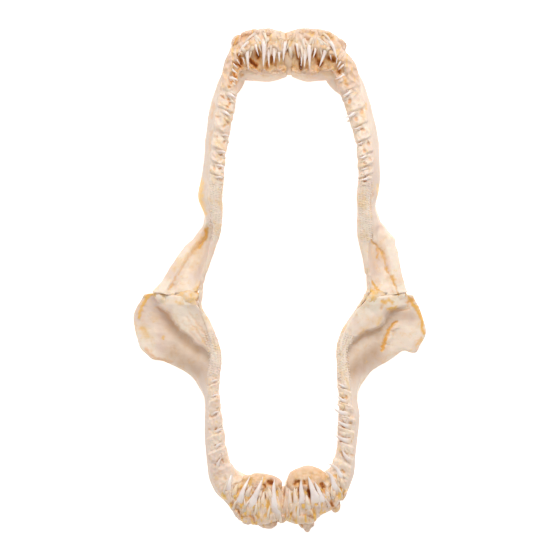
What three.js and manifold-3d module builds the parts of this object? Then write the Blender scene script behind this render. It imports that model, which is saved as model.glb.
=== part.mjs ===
// The dried jaws of a sand tiger shark, spread wide open and lying on their back with the teeth up.
// Millimetres. +Y runs from the lower jaw's front to the upper jaw's front, +X to the animal's left, +Z up.
// Each half is described by "across" (distance from the midline), "along" (Y) and "up" (Z), and then laid
// on its own side of a midline that the drying has pulled slightly out of true.
import * as THREE from 'three';
import { ParametricGeometry } from 'three/addons/geometries/ParametricGeometry.js';
import { mergeVertices } from 'three/addons/utils/BufferGeometryUtils.js';
import Module from 'manifold-3d';

const wasm = await Module();
wasm.setup();

const CLEARANCE = 0.4;         // gap kept between two pieces that touch
const SYMPHYSIS_GAP = 1.2;     // from the midline to each half's inner face
const ALONG_STEPS = 25;        // cross-sections in one cartilage
const AROUND_STEPS = 12;       // corners of one cartilage cross-section
const FAR = 400;               // half-size of the blocks that trim a solid

const COLOURS = {
  cartilage: { color: 0xeadccb, roughness: 0.55 },
  gum: { color: 0xe8d2ab, roughness: 0.6 },
  ligament: { color: 0xdda94f, roughness: 0.45 },
};

// ---- The four cartilages. A row is one cross-section, from the symphysis back to the jaw joint. lip is the edge
// ---- that carries the teeth and free the opposite edge, as [across, along, up]; build is [half thickness,
// ---- sag of the plate between its edges, depth of the tooth groove].
const UPPER_CARTILAGE = [
  { lip: [0, 157, 21], free: [0, 181, 9], build: [12, 0, 3] },
  { lip: [13, 153, 22], free: [14, 187, 8], build: [15.5, 0, 6] },
  { lip: [25, 153.5, 22], free: [29, 186, 8], build: [15, 0, 6] },
  { lip: [32.5, 152, 24], free: [40.5, 180, 8], build: [12, 0, 4] },
  { lip: [37.5, 145, 27], free: [48, 165, 8], build: [8.5, 0, 1] },
  { lip: [44.5, 137, 31], free: [53.5, 149, 7], build: [6, 0, 0] },
  { lip: [49.5, 126, 33.5], free: [59.5, 131, 6], build: [5, 0, 0] },
  { lip: [54.5, 108.5, 35], free: [63.5, 110, 5], build: [4.7, 0, 0] },
  { lip: [57.5, 90, 35.5], free: [65, 90, 4.5], build: [4.5, 0, 0] },
  { lip: [58, 67, 34.5], free: [67, 65, 4], build: [4.4, 0, 0] },
  { lip: [56.5, 48, 33], free: [65.5, 47, 4], build: [4.2, 0.5, 0] },
  { lip: [56, 35, 31.5], free: [70, 36.5, 5], build: [4, 1.5, 0] },
  { lip: [56.5, 23, 29.5], free: [79, 25, 7], build: [3.6, 4, 0] },
  { lip: [60.5, 9, 27.5], free: [86.5, 10, 9], build: [3.4, 5.5, 0] },
  { lip: [63, -4, 26], free: [92.5, -4, 10], build: [3.6, 5.5, 0] },
  { lip: [65, -13, 25], free: [97, -12, 10], build: [4.4, 4, 0] },
];
const LOWER_CARTILAGE = [
  { lip: [0, -156, 22], free: [0, -179, 8], build: [11, 0, 2] },
  { lip: [13, -154, 24], free: [13, -184, 6], build: [14, 0, 2] },
  { lip: [27, -152.5, 24], free: [29, -180, 6], build: [13.5, 0, 2] },
  { lip: [37, -147.5, 27], free: [42, -169, 6], build: [10.5, 0, 1] },
  { lip: [44.5, -140, 30], free: [50, -155, 6], build: [7.5, 0, 0] },
  { lip: [47.5, -129, 33], free: [53.5, -137, 5.5], build: [5.6, 0, 0] },
  { lip: [49.5, -116, 34], free: [56, -118, 5], build: [4.8, 0, 0] },
  { lip: [50.5, -99, 34], free: [57, -99, 5], build: [4.5, 0, 0] },
  { lip: [49.5, -84, 33], free: [60.5, -84, 5], build: [4.3, 0.5, 0] },
  { lip: [47, -71, 32], free: [70, -71.5, 4.8], build: [3.9, 2, 0] },
  { lip: [45.5, -60, 31], free: [88, -62, 3.8], build: [3.7, 4.5, 0] },
  { lip: [45.5, -49, 30], free: [103.5, -55, 2.8], build: [3.6, 7, 0] },
  { lip: [49, -39, 29], free: [110, -45, 2.4], build: [3.6, 8, 0] },
  { lip: [54, -29.5, 28], free: [110.8, -33, 2.4], build: [3.8, 8, 0] },
  { lip: [59.5, -22, 27], free: [108, -22, 3], build: [4.2, 6, 0] },
  { lip: [65, -17.5, 26], free: [102.5, -13.5, 5], build: [4.5, 4, 0] },
];

// Raised forms on the outer face: the upper jaw's rolled rim beside its muscle hollow, and the lower jaw's
// shoulder, whose crest runs aslant from the joint to the tooth row.
const RIM = { height: 3.5, from: 0.64, to: 0.76, starts: 0.68, ends: 0.8 };
const SHOULDER = { height: 5.5, atJoint: 0.56, atTeeth: 0.1, starts: 0.62, slope: 0.14 };

// ---- The dried gum that holds the teeth: a ridge along each half, where at is its centre and size its half
// ---- width and half height, and a dome over the front of the lower jaw, where the longest fangs lie.
const UPPER_GUM = [
  { at: [0, 176.5, 31], size: [7.5, 7] },
  { at: [13, 180, 32], size: [9, 8.5] },
  { at: [27, 179.5, 32], size: [9, 8.5] },
  { at: [37, 172, 32.5], size: [8.5, 8] },
  { at: [42.5, 160, 33.5], size: [8, 7.5] },
  { at: [45.5, 145, 34.5], size: [7.4, 6.8] },
  { at: [49.2, 129, 35.5], size: [7, 6] },
  { at: [53.4, 109, 36.2], size: [6.2, 5.5] },
  { at: [56, 90, 36.5], size: [5.7, 5.2] },
  { at: [56.3, 67, 35.5], size: [5.5, 4.8] },
  { at: [56, 48, 34], size: [5, 4.4] },
  { at: [56, 35, 32.5], size: [4.3, 4] },
  { at: [57.2, 26, 31], size: [3.3, 3.3] },
];
const LOWER_GUM = [
  { at: [0, -167, 30], size: [12, 8] },
  { at: [13, -169, 33], size: [13, 9.5] },
  { at: [26, -167.5, 33], size: [13, 9.5] },
  { at: [37.5, -159, 33], size: [12, 9] },
  { at: [45, -145, 33.5], size: [8.4, 7.4] },
  { at: [48.3, -130, 34.5], size: [6.8, 6.3] },
  { at: [49.2, -117, 35], size: [6.2, 5.6] },
  { at: [50.2, -99, 35], size: [5.5, 5] },
  { at: [50, -85, 34], size: [5, 4.6] },
  { at: [48.5, -70, 33], size: [4.6, 4.3] },
  { at: [47.5, -55, 32], size: [3.9, 3.8] },
  { at: [50.3, -42, 30.5], size: [2.9, 3] },
];
const LOWER_DOME = { centre: [19.5, -169.5, 30], size: [25, 19.5, 15.5], turn: 16 };
const UPPER_RIDGE_MESH = { start: 0, around: 8, along: 25 };
const LOWER_RIDGE_MESH = { start: 0.2, around: 8, along: 20 };

// ---- The teeth, by their place along a gum ridge in rows of its table. Front teeth are long fangs that lean
// ---- inwards over the groove; those of the jaw's arm shrink towards the corner of the mouth.
const UPPER_FANGS = [
  { row: 0.45, length: 15, width: 4 },
  { row: 1.28, length: 22, width: 6.5 },
  { row: 2.2, length: 23, width: 6.5 },
  { row: 2.85, length: 17, width: 5.5 },
  { row: 3.5, length: 10, width: 4 },
];
const UPPER_SIDE_TEETH = { count: 9, first: 4.05, last: 8.7, longest: 11, shortest: 4.5 };
const LOWER_FANGS = [
  { row: 0.5, length: 28, width: 5.5 },
  { row: 1.2, length: 33, width: 6.5 },
  { row: 1.85, length: 32, width: 6.5 },
  { row: 2.45, length: 26, width: 6 },
  { row: 3.0, length: 21, width: 5.5 },
  { row: 3.5, length: 17, width: 5 },
];
const LOWER_SIDE_TEETH = { count: 9, first: 4.0, last: 8.4, longest: 13, shortest: 5 };
// Where a tooth is rooted and how it leans, as shares of the ridge's half width and height and of the tooth.
const UPPER_LEAN = { rootOut: 0.1, rootUp: 0.55, inward: 0.85, up: 0.5, bow: 0.1 };
const LOWER_FANG_LEAN = { rootOut: 0.95, rootUp: 0.3, inward: 0.93, up: 0.34, bow: 0.15 };
const SIDE_LEAN = { rootOut: 0.2, rootUp: 0.6, inward: 0.85, up: 0.5, bow: 0.08 };
const FANG_MESH = { sides: 5, rings: 3 };
const SIDE_TOOTH_MESH = { sides: 4, rings: 2 };
const TOOTH_DEPTH = 0.6;       // thickness from lips to tongue, as a share of the width

// ---- Dried ligament: a pad over each jaw joint, a strap round each corner of the mouth, a pad in each symphysis.
const JOINT_LIGAMENT = {
  route: [[66, -17, 25], [76, -17.5, 20], [88, -15, 15], [97, -11.5, 12]],
  radius: 4.6, around: 7, along: 7,
};
const CORNER_STRAP = {
  route: [[58, 24, 31], [61, 10, 31], [62.5, -6, 30], [61, -22, 30], [54, -32, 31]],
  radius: 2.3, around: 5, along: 9,
};
const SYMPHYSIS_PAD = { halfThickness: 0.8, share: 0.8 };

// How far the midline lies to the animal's left, at a place along the jaws.
const SWAY = { joint: 0.4, jointAlong: -20, upper: 9.6, upperSpan: 250, lower: 2.8, lowerSpan: 150 };

function sway(along) {
  const past = along - SWAY.jointAlong;
  if (past > 0) return SWAY.joint + SWAY.upper * Math.sin((Math.PI * past) / SWAY.upperSpan);
  return SWAY.joint + SWAY.lower * THREE.MathUtils.smoothstep(-past, 0, SWAY.lowerSpan);
}

// ---- Surfaces ----

function curveThrough(points) {
  return new THREE.CatmullRomCurve3(points.map((p) => new THREE.Vector3(...p)), false, 'catmullrom');
}

// A closed solid from rings of points: ringPoint(share along, angle) gives a ring's corner and centre(share
// along) the middle that closes each end.
function loft(ringPoint, centre, around, along) {
  const lastRing = along + 2;
  const geometry = new ParametricGeometry((u, v, target) => {
    const ring = Math.round(v * lastRing);
    const share = THREE.MathUtils.clamp((ring - 1) / along, 0, 1);
    const isEnd = ring === 0 || ring === lastRing;
    target.copy(isEnd ? centre(share) : ringPoint(share, (u % 1) * 2 * Math.PI));
  }, around, lastRing);
  return toSolid(geometry);
}

function toSolid(geometry) {
  geometry.deleteAttribute('normal');
  geometry.deleteAttribute('uv');
  const merged = mergeVertices(geometry, 1e-4);
  const corners = merged.index.array;
  const kept = [];
  for (let i = 0; i < corners.length; i += 3) {
    const [a, b, c] = [corners[i], corners[i + 1], corners[i + 2]];
    if (a !== b && b !== c && c !== a) kept.push(a, b, c);
  }
  const vertProperties = new Float32Array(merged.attributes.position.array);
  if (signedVolume(vertProperties, kept) < 0) kept.reverse();
  return new wasm.Manifold(new wasm.Mesh({ numProp: 3, vertProperties, triVerts: new Uint32Array(kept) }));
}

function signedVolume(positions, corners) {
  const [a, b, c] = [new THREE.Vector3(), new THREE.Vector3(), new THREE.Vector3()];
  let sum = 0;
  for (let i = 0; i < corners.length; i += 3) {
    a.fromArray(positions, corners[i] * 3);
    b.fromArray(positions, corners[i + 1] * 3);
    c.fromArray(positions, corners[i + 2] * 3);
    sum += a.dot(b.cross(c));
  }
  return sum;
}

// ---- Cartilage ----

function cartilageShape(rows) {
  return {
    lip: curveThrough(rows.map((row) => row.lip)),
    free: curveThrough(rows.map((row) => row.free)),
    build: curveThrough(rows.map((row) => row.build)),
  };
}

function upperRelief(share, across) {
  const along = THREE.MathUtils.smoothstep(share, RIM.starts, RIM.ends);
  return RIM.height * along * THREE.MathUtils.smoothstep(across, RIM.from, RIM.to);
}

function lowerRelief(share, across) {
  const back = THREE.MathUtils.clamp((share - SHOULDER.starts) / (1 - SHOULDER.starts), 0, 1);
  const crest = THREE.MathUtils.lerp(SHOULDER.atTeeth, SHOULDER.atJoint, back);
  const along = THREE.MathUtils.smoothstep(back, 0, 0.3);
  return SHOULDER.height * along * (1 - THREE.MathUtils.smoothstep(across, crest, crest + SHOULDER.slope));
}

function cartilageAt(shape, share) {
  const lip = shape.lip.getPoint(share);
  const free = shape.free.getPoint(share);
  const [thick, sag, groove] = shape.build.getPoint(share).toArray();
  const step = 0.01;
  const middleOf = (s) => shape.lip.getPoint(s).add(shape.free.getPoint(s)).multiplyScalar(0.5);
  const tangent = middleOf(Math.min(1, share + step)).sub(middleOf(Math.max(0, share - step)));
  const across = free.clone().sub(lip);
  const outwards = tangent.cross(across).normalize();
  return { middle: middleOf(share), half: across.multiplyScalar(0.5), outwards, thick, sag, groove };
}

function cartilage(rows, isLower, relief, grow) {
  const shape = cartilageShape(rows);
  const ringPoint = (share, angle) => {
    const { middle, half, outwards, thick, sag, groove } = cartilageAt(shape, share);
    if (isLower) outwards.negate();
    const across = Math.cos(angle);
    const face = Math.sign(Math.sin(angle)) * Math.abs(Math.sin(angle)) ** 0.7;
    const hollow = Math.sin(angle) ** 2;
    let height = (thick + grow) * face - sag * hollow;
    if (face > 0) height += relief(share, (1 + across) / 2) * face ** 0.5 - groove * hollow;
    const reach = 1 + grow / half.length();
    return middle.addScaledVector(half, across * reach).addScaledVector(outwards, height);
  };
  const centre = (share) => cartilageAt(shape, share).middle;
  return loft(ringPoint, centre, AROUND_STEPS, ALONG_STEPS);
}

// ---- Gum ridges and teeth ----

function ridgeAt(rows, share) {
  const path = curveThrough(rows.map((row) => row.at));
  const sizes = curveThrough(rows.map((row) => [...row.size, 0]));
  const step = 0.01;
  const forward = path.getPoint(Math.min(1, share + step)).sub(path.getPoint(Math.max(0, share - step)));
  forward.z = 0;
  forward.normalize();
  const outward = new THREE.Vector3(-forward.y, forward.x, 0);
  if (rows[0].at[1] < 0) outward.negate();
  const size = sizes.getPoint(share);
  return { centre: path.getPoint(share), forward, outward, halfWidth: size.x, halfHeight: size.y };
}

function gumRidge(rows, { start, around, along }, grow) {
  const placeOf = (share) => THREE.MathUtils.lerp(start, 1, share);
  const ringPoint = (share, angle) => {
    const { centre, outward, halfWidth, halfHeight } = ridgeAt(rows, placeOf(share));
    centre.addScaledVector(outward, (halfWidth + grow) * Math.cos(angle));
    centre.z += (halfHeight + grow) * Math.sin(angle);
    return centre;
  };
  return loft(ringPoint, (share) => ridgeAt(rows, placeOf(share)).centre, around, along);
}

function tooth(rows, { row, length, width }, lean, { sides, rings }) {
  const { centre, forward, outward, halfWidth, halfHeight } = ridgeAt(rows, row / (rows.length - 1));
  const up = new THREE.Vector3(0, 0, 1);
  const root = centre.clone()
    .addScaledVector(outward, halfWidth * lean.rootOut)
    .addScaledVector(up, halfHeight * lean.rootUp);
  const axis = outward.clone().multiplyScalar(-lean.inward).addScaledVector(up, lean.up).normalize();
  const arch = forward.clone().cross(axis).normalize();
  if (arch.z < 0) arch.negate();
  const tip = root.clone().addScaledVector(axis, length);
  const elbow = root.clone().addScaledVector(axis, length * 0.5).addScaledVector(arch, length * lean.bow * 2);
  const line = new THREE.QuadraticBezierCurve3(root, elbow, tip);
  const ringPoint = (share, angle) => {
    const taper = 0.04 + 0.5 * (1 - share) ** 0.75;
    return line.getPoint(share)
      .addScaledVector(forward, width * taper * Math.cos(angle))
      .addScaledVector(arch, width * TOOTH_DEPTH * taper * Math.sin(angle));
  };
  return loft(ringPoint, (share) => line.getPoint(share), sides, rings);
}

function sideTeeth({ count, first, last, longest, shortest }) {
  return Array.from({ length: count }, (_, i) => {
    const share = i / (count - 1);
    const length = THREE.MathUtils.lerp(longest, shortest, share);
    return { row: THREE.MathUtils.lerp(first, last, share), length, width: length * 0.42 };
  });
}

function gumDome({ centre, size, turn }) {
  const dome = new THREE.SphereGeometry(1, 10, 7);
  dome.scale(size[0], size[2], size[1]);
  dome.rotateX(Math.PI / 2);
  dome.rotateZ(THREE.MathUtils.degToRad(turn));
  dome.translate(...centre);
  return toSolid(dome);
}

function toothed(gum, rows, fangs, fangLean, side) {
  const teeth = [
    ...fangs.map((fang) => tooth(rows, fang, fangLean, FANG_MESH)),
    ...sideTeeth(side).map((small) => tooth(rows, small, SIDE_LEAN, SIDE_TOOTH_MESH)),
  ];
  return teeth.reduce((whole, one) => whole.add(one), gum);
}

// ---- Ligament ----

function cord({ route, radius, around, along }, grow) {
  const line = curveThrough(route);
  const { binormals, normals } = line.computeFrenetFrames(along);
  const ringPoint = (share, angle) => {
    const i = Math.round(share * along);
    const end = Math.min(share, 1 - share) * 4;
    const thick = radius * Math.min(1, 0.55 + end * 0.6) + grow;
    return line.getPoint(share)
      .addScaledVector(normals[i], thick * Math.cos(angle))
      .addScaledVector(binormals[i], thick * Math.sin(angle));
  };
  return loft(ringPoint, (share) => line.getPoint(share), around, along);
}

// The pad between the two halves at the front of a jaw: a slice of the cartilage's own first section.
function symphysisPad(rows) {
  const { lip, free, build } = rows[0];
  const middle = new THREE.Vector3(...lip).add(new THREE.Vector3(...free)).multiplyScalar(0.5);
  const half = new THREE.Vector3(...free).sub(new THREE.Vector3(...lip)).multiplyScalar(0.5 * SYMPHYSIS_PAD.share);
  const outwards = new THREE.Vector3(0, half.z, -half.y).normalize();
  const corner = (share, angle) => middle.clone()
    .addScaledVector(half, Math.cos(angle))
    .addScaledVector(outwards, build[0] * SYMPHYSIS_PAD.share * Math.sin(angle))
    .setX(THREE.MathUtils.lerp(-1, 1, share) * SYMPHYSIS_PAD.halfThickness);
  const centre = (share) => middle.clone().setX(THREE.MathUtils.lerp(-1, 1, share) * SYMPHYSIS_PAD.halfThickness);
  return loft(corner, centre, AROUND_STEPS, 1);
}

// ---- Trimming and laying out ----

function block(low, high) {
  const size = new THREE.Vector3().subVectors(high, low);
  const box = new THREE.BoxGeometry(size.x, size.y, size.z);
  box.translate((low.x + high.x) / 2, (low.y + high.y) / 2, (low.z + high.z) / 2);
  return toSolid(box);
}

const underFloor = block(new THREE.Vector3(-FAR, -FAR, -FAR), new THREE.Vector3(FAR, FAR, 0));
const pastMidline = block(new THREE.Vector3(-FAR, -FAR, -FAR), new THREE.Vector3(SYMPHYSIS_GAP, FAR, FAR));

// The largest body that is left of a solid once its neighbours are cut out of it.
function fitted(solid, ...neighbours) {
  const cut = neighbours.reduce((left, other) => left.subtract(other), solid);
  return cut.decompose().sort((a, b) => b.volume() - a.volume())[0];
}

function meshOf(name, solid, finish, side) {
  const { vertProperties, triVerts } = solid.getMesh();
  const positions = new Float32Array(vertProperties);
  for (let i = 0; i < positions.length; i += 3) positions[i] = side * positions[i] + sway(positions[i + 1]);
  const corners = Array.from(triVerts);
  if (side < 0) corners.reverse();
  const geometry = new THREE.BufferGeometry();
  geometry.setAttribute('position', new THREE.BufferAttribute(positions, 3));
  geometry.setIndex(corners);
  geometry.computeVertexNormals();
  const mesh = new THREE.Mesh(geometry, new THREE.MeshStandardMaterial({ ...finish, metalness: 0 }));
  mesh.name = name;
  return mesh;
}

const upperRoom = cartilage(UPPER_CARTILAGE, false, upperRelief, CLEARANCE);
const lowerRoom = cartilage(LOWER_CARTILAGE, true, lowerRelief, CLEARANCE);
const upperBone = fitted(cartilage(UPPER_CARTILAGE, false, upperRelief, 0), underFloor, pastMidline);
const lowerBone = fitted(cartilage(LOWER_CARTILAGE, true, lowerRelief, 0), underFloor, pastMidline, upperRoom);

const upperGum = gumRidge(UPPER_GUM, UPPER_RIDGE_MESH, 0);
const lowerGum = gumRidge(LOWER_GUM, LOWER_RIDGE_MESH, 0).add(gumDome(LOWER_DOME));
const upperToothed = toothed(upperGum, UPPER_GUM, UPPER_FANGS, UPPER_LEAN, UPPER_SIDE_TEETH);
const lowerToothed = toothed(lowerGum, LOWER_GUM, LOWER_FANGS, LOWER_FANG_LEAN, LOWER_SIDE_TEETH);
const upperTeeth = fitted(upperToothed, pastMidline, upperRoom);
const lowerTeeth = fitted(lowerToothed, pastMidline, lowerRoom);

const jointLigament = fitted(cord(JOINT_LIGAMENT, 0), underFloor, upperRoom, lowerRoom);
const cornerStrap = fitted(
  cord(CORNER_STRAP, 0),
  upperRoom, lowerRoom, cord(JOINT_LIGAMENT, CLEARANCE),
  gumRidge(UPPER_GUM, UPPER_RIDGE_MESH, CLEARANCE), gumRidge(LOWER_GUM, LOWER_RIDGE_MESH, CLEARANCE),
);

const jaws = new THREE.Group();
for (const [sideName, side] of [['left', 1], ['right', -1]]) {
  jaws.add(meshOf(`upper_cartilage_${sideName}`, upperBone, COLOURS.cartilage, side));
  jaws.add(meshOf(`lower_cartilage_${sideName}`, lowerBone, COLOURS.cartilage, side));
  jaws.add(meshOf(`upper_teeth_${sideName}`, upperTeeth, COLOURS.gum, side));
  jaws.add(meshOf(`lower_teeth_${sideName}`, lowerTeeth, COLOURS.gum, side));
  jaws.add(meshOf(`joint_ligament_${sideName}`, jointLigament, COLOURS.ligament, side));
  jaws.add(meshOf(`corner_strap_${sideName}`, cornerStrap, COLOURS.ligament, side));
}
jaws.add(meshOf('upper_symphysis', symphysisPad(UPPER_CARTILAGE), COLOURS.ligament, 1));
jaws.add(meshOf('lower_symphysis', symphysisPad(LOWER_CARTILAGE), COLOURS.ligament, 1));

export default jaws;
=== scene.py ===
# The dried jaws of a sand tiger shark, spread wide open and lying on their back with the teeth up.
# Sizes are in millimetres and turn into metres where a mesh is made. +Y runs to the front of the upper jaw and +X
# to the animal's left.
import math
import random

import bmesh
import bpy
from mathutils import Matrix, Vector, noise
from mathutils.bvhtree import BVHTree


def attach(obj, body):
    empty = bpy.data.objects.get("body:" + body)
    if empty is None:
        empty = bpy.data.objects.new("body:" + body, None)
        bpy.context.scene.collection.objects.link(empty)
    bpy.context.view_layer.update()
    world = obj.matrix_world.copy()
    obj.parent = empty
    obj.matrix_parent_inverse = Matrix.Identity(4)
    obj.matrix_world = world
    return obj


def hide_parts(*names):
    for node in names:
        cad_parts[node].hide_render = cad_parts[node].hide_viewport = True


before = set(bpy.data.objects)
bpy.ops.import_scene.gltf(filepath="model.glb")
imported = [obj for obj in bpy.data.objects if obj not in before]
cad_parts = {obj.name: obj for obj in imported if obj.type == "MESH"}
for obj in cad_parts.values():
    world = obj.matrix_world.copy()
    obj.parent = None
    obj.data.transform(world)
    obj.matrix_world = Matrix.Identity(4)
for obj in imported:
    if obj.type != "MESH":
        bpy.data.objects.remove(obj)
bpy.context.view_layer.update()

# ---- The room: a pale floor under soft studio light, and a camera that looks straight down on the jaws from
# ---- two and a half metres, far enough that it flattens them.
MM = 0.001
LOOKING_AT = Vector((1.1, -1.1, 25)) * MM
CAMERA_RISE = 2.5
CAMERA_LENS = 211.5
CAMERA_SEES_TO = 20
FLOOR_SIDE = 8.0
LIGHTS = {  # name: (place in metres, watts, side of the lamp in metres)
    "key_light": ((0.3, 1.8, 1.7), 32, 0.8),
    "fill_light": ((-1.2, -1.0, 2.2), 4, 1.6),
}
SKY_STRENGTH = 0.55
PAPER, PAPER_GLOW = (0.94, 0.94, 0.94, 1), 0.54


class Socket:
    """A shader value that can be reckoned with: an expression on it adds the Math nodes."""

    def __init__(self, tree, socket):
        self.tree, self.socket = tree, socket

    def reckon(self, operation, *values, clamp=False):
        node = self.tree.add("ShaderNodeMath", {"operation": operation, "use_clamp": clamp}, dict(enumerate(values)))
        return node.value()

    def __add__(self, other):
        return self.reckon("ADD", self, other)

    def __sub__(self, other):
        return self.reckon("SUBTRACT", self, other)

    def __rsub__(self, other):
        return self.reckon("SUBTRACT", other, self)

    def __mul__(self, other):
        return self.reckon("MULTIPLY", self, other)

    def __pow__(self, other):
        return self.reckon("POWER", self, other)

    __radd__, __rmul__ = __add__, __mul__

    def between(self, low, high):
        """0 below low, 1 above high, and a smooth step from one to the other."""
        node = self.tree.add("ShaderNodeMapRange", {"interpolation_type": "SMOOTHSTEP"},
                             {"Value": self, "From Min": low, "From Max": high})
        return node.value()

    def clamped(self):
        return self.reckon("ADD", self, 0.0, clamp=True)


class Node:
    def __init__(self, tree, node):
        self.tree, self.node = tree, node

    def value(self, name=0):
        return Socket(self.tree, self.node.outputs[name])


class Finish:
    """A material whose nodes are added one by one."""

    def __init__(self, name):
        self.material = bpy.data.materials.new(name)
        self.material.use_nodes = True
        self.tree = self.material.node_tree
        self.shader = next(node for node in self.tree.nodes if node.type == "BSDF_PRINCIPLED")

    def add(self, kind, settings, sockets):
        node = self.tree.nodes.new(kind)
        for key, setting in settings.items():
            setattr(node, key, setting)
        self.fill(node, sockets)
        return Node(self, node)

    def fill(self, node, sockets):
        for name, given in sockets.items():
            if isinstance(given, Socket):
                self.tree.links.new(given.socket, node.inputs[name])
            else:
                node.inputs[name].default_value = given

    def place(self):
        return self.add("ShaderNodeTexCoord", {}, {}).value("Object")

    def mask(self, name):
        return self.add("ShaderNodeAttribute", {"attribute_name": name}, {}).value("Fac")

    def grain(self, where, scale, detail=3.0, roughness=0.55, distortion=0.0):
        """Noise round a half, from which the patches, pores and fibres are cut."""
        return self.add("ShaderNodeTexNoise", {}, {"Vector": where, "Scale": scale, "Detail": detail,
                                                   "Roughness": roughness, "Distortion": distortion}).value("Fac")

    def stretched(self, where, scale):
        return self.add("ShaderNodeMapping", {}, {"Vector": where, "Scale": scale}).value("Vector")

    def tinted(self, amount, under, over):
        node = self.add("ShaderNodeMix", {"data_type": "RGBA"}, {})
        self.fill(node.node, {0: amount, 6: under, 7: over})
        return node.value(2)

    def relief(self, height, strength, distance):
        return self.add("ShaderNodeBump", {}, {"Height": height, "Strength": strength,
                                               "Distance": distance}).value("Normal")

    def finish(self, **sockets):
        self.fill(self.shader, {key.replace("_", " "): given for key, given in sockets.items()})
        return self.material


def colour(red, green, blue):
    """A colour of a paint chart's 0 to 255 numbers, as Blender's linear one."""
    return tuple(((part / 255 + 0.055) / 1.055) ** 2.4 for part in (red, green, blue)) + (1.0,)


def shown(name, thing):
    made = bpy.data.objects.new(name, thing)
    bpy.context.scene.collection.objects.link(made)
    return made


camera = bpy.data.cameras.new("camera")
camera.lens = CAMERA_LENS
camera.clip_end = CAMERA_SEES_TO
camera_stand = shown("camera", camera)
camera_stand.location = LOOKING_AT + Vector((0, 0, CAMERA_RISE))
bpy.context.scene.camera = camera_stand

for light_name, (light_place, watts, lamp_side) in LIGHTS.items():
    lamp = bpy.data.lights.new(light_name, "AREA")
    lamp.energy, lamp.size = watts, lamp_side
    lamp_stand = shown(light_name, lamp)
    lamp_stand.location = light_place
    lamp_stand.rotation_euler = (-Vector(light_place)).to_track_quat("-Z", "Y").to_euler()

world = bpy.data.worlds.new("studio")
world.use_nodes = True
world.node_tree.nodes["Background"].inputs["Color"].default_value = (1, 1, 1, 1)
world.node_tree.nodes["Background"].inputs["Strength"].default_value = SKY_STRENGTH
bpy.context.scene.world = world
bpy.context.scene.view_settings.view_transform = "Standard"

floor_mesh = bmesh.new()
bmesh.ops.create_grid(floor_mesh, x_segments=1, y_segments=1, size=FLOOR_SIDE / 2)
floor_data = bpy.data.meshes.new("floor")
floor_mesh.to_mesh(floor_data)
floor_mesh.free()
floor = shown("floor", floor_data)
paper = Finish("floor_paper")
floor_data.materials.append(paper.finish(
    Base_Color=PAPER, Roughness=0.9, Emission_Color=(1, 1, 1, 1), Emission_Strength=PAPER_GLOW))

# ---- The four cartilages. Each is one plate of dried hyaline cartilage, swept from the symphysis back to the jaw
# ---- joint. lip is the edge that carries the teeth, free the opposite one, as (across, along, up); build is (half
# ---- thickness, sag of the plate between its edges, depth of the tooth groove). The drying has warped each half.
UPPER_PLATE = [
    ((0, 156, 21), (0, 181, 9), (12, 0, 3)),
    ((13, 151.8, 22), (14, 187, 8), (15.5, 0, 6)),
    ((25, 152.5, 22), (29, 185.5, 8), (15, 0, 6)),
    ((32.5, 152, 24), (40.5, 180, 8), (12, 0, 4)),
    ((37.5, 145, 27), (46.5, 163.5, 8), (8.5, 0, 1)),
    ((44.5, 137, 31), (53.5, 149, 7), (6, 0, 0)),
    ((49.5, 126, 33.5), (59.5, 131, 6), (5, 0, 0)),
    ((54.5, 108.5, 35), (63.5, 110, 5), (4.7, 0, 0)),
    ((57.5, 90, 35.5), (65, 90, 4.5), (4.5, 0, 0)),
    ((58, 67, 34.5), (67, 65, 4), (4.4, 0, 0)),
    ((56.5, 48, 33), (65.5, 47, 4), (4.2, 0.5, 0)),
    ((56, 35, 31.5), (70, 36.5, 5), (4, 1.5, 0)),
    ((56.5, 23, 29.5), (79, 25, 7), (3.6, 4, 0)),
    ((60.5, 9, 27.5), (86.5, 10, 9), (3.4, 5.5, 0)),
    ((63, -4, 26), (92.5, -4, 10), (3.6, 5.5, 0)),
    ((65, -13, 25), (97, -12, 10), (4.4, 4, 0)),
]
LOWER_PLATE = [
    ((0, -156, 22), (0, -179, 8), (11, 0, 2)),
    ((13, -154, 24), (13, -184, 6), (14, 0, 2)),
    ((27, -152.5, 24), (29, -180, 6), (13.5, 0, 2)),
    ((37, -147.5, 27), (42, -169, 6), (10.5, 0, 1)),
    ((44.5, -140, 30), (50, -155, 6), (7.5, 0, 0)),
    ((47.5, -129, 33), (53.5, -137, 5.5), (5.6, 0, 0)),
    ((49.5, -116, 34), (56, -118, 5), (4.8, 0, 0)),
    ((50.5, -99, 34), (57, -99, 5), (4.5, 0, 0)),
    ((49.5, -84, 33), (60.5, -84, 5), (4.3, 0.5, 0)),
    ((47, -71, 32), (70, -71.5, 4.8), (3.9, 2, 0)),
    ((45.5, -60, 31), (88, -62, 3.8), (3.7, 4.5, 0)),
    ((45.5, -49, 30), (103.5, -55, 2.8), (3.6, 7, 0)),
    ((49, -39, 29), (110, -45, 2.4), (3.6, 8, 0)),
    ((54, -29.5, 28), (110.8, -33, 2.4), (3.8, 8, 0)),
    ((59.5, -22, 27), (108, -22, 3), (4.2, 6, 0)),
    ((65, -17.5, 26), (102.5, -13.5, 5), (4.5, 4, 0)),
]
PLATE_STEPS = (400, 150)          # cross-sections in a plate, and corners of one
PLATE_FLATNESS = 0.7              # below 1, a plate's faces are flatter than an ellipse's
FRONT_ROUNDING, REAR_ROUNDING = 0.008, 0.013    # the shares of its length over which its ends round off
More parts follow.
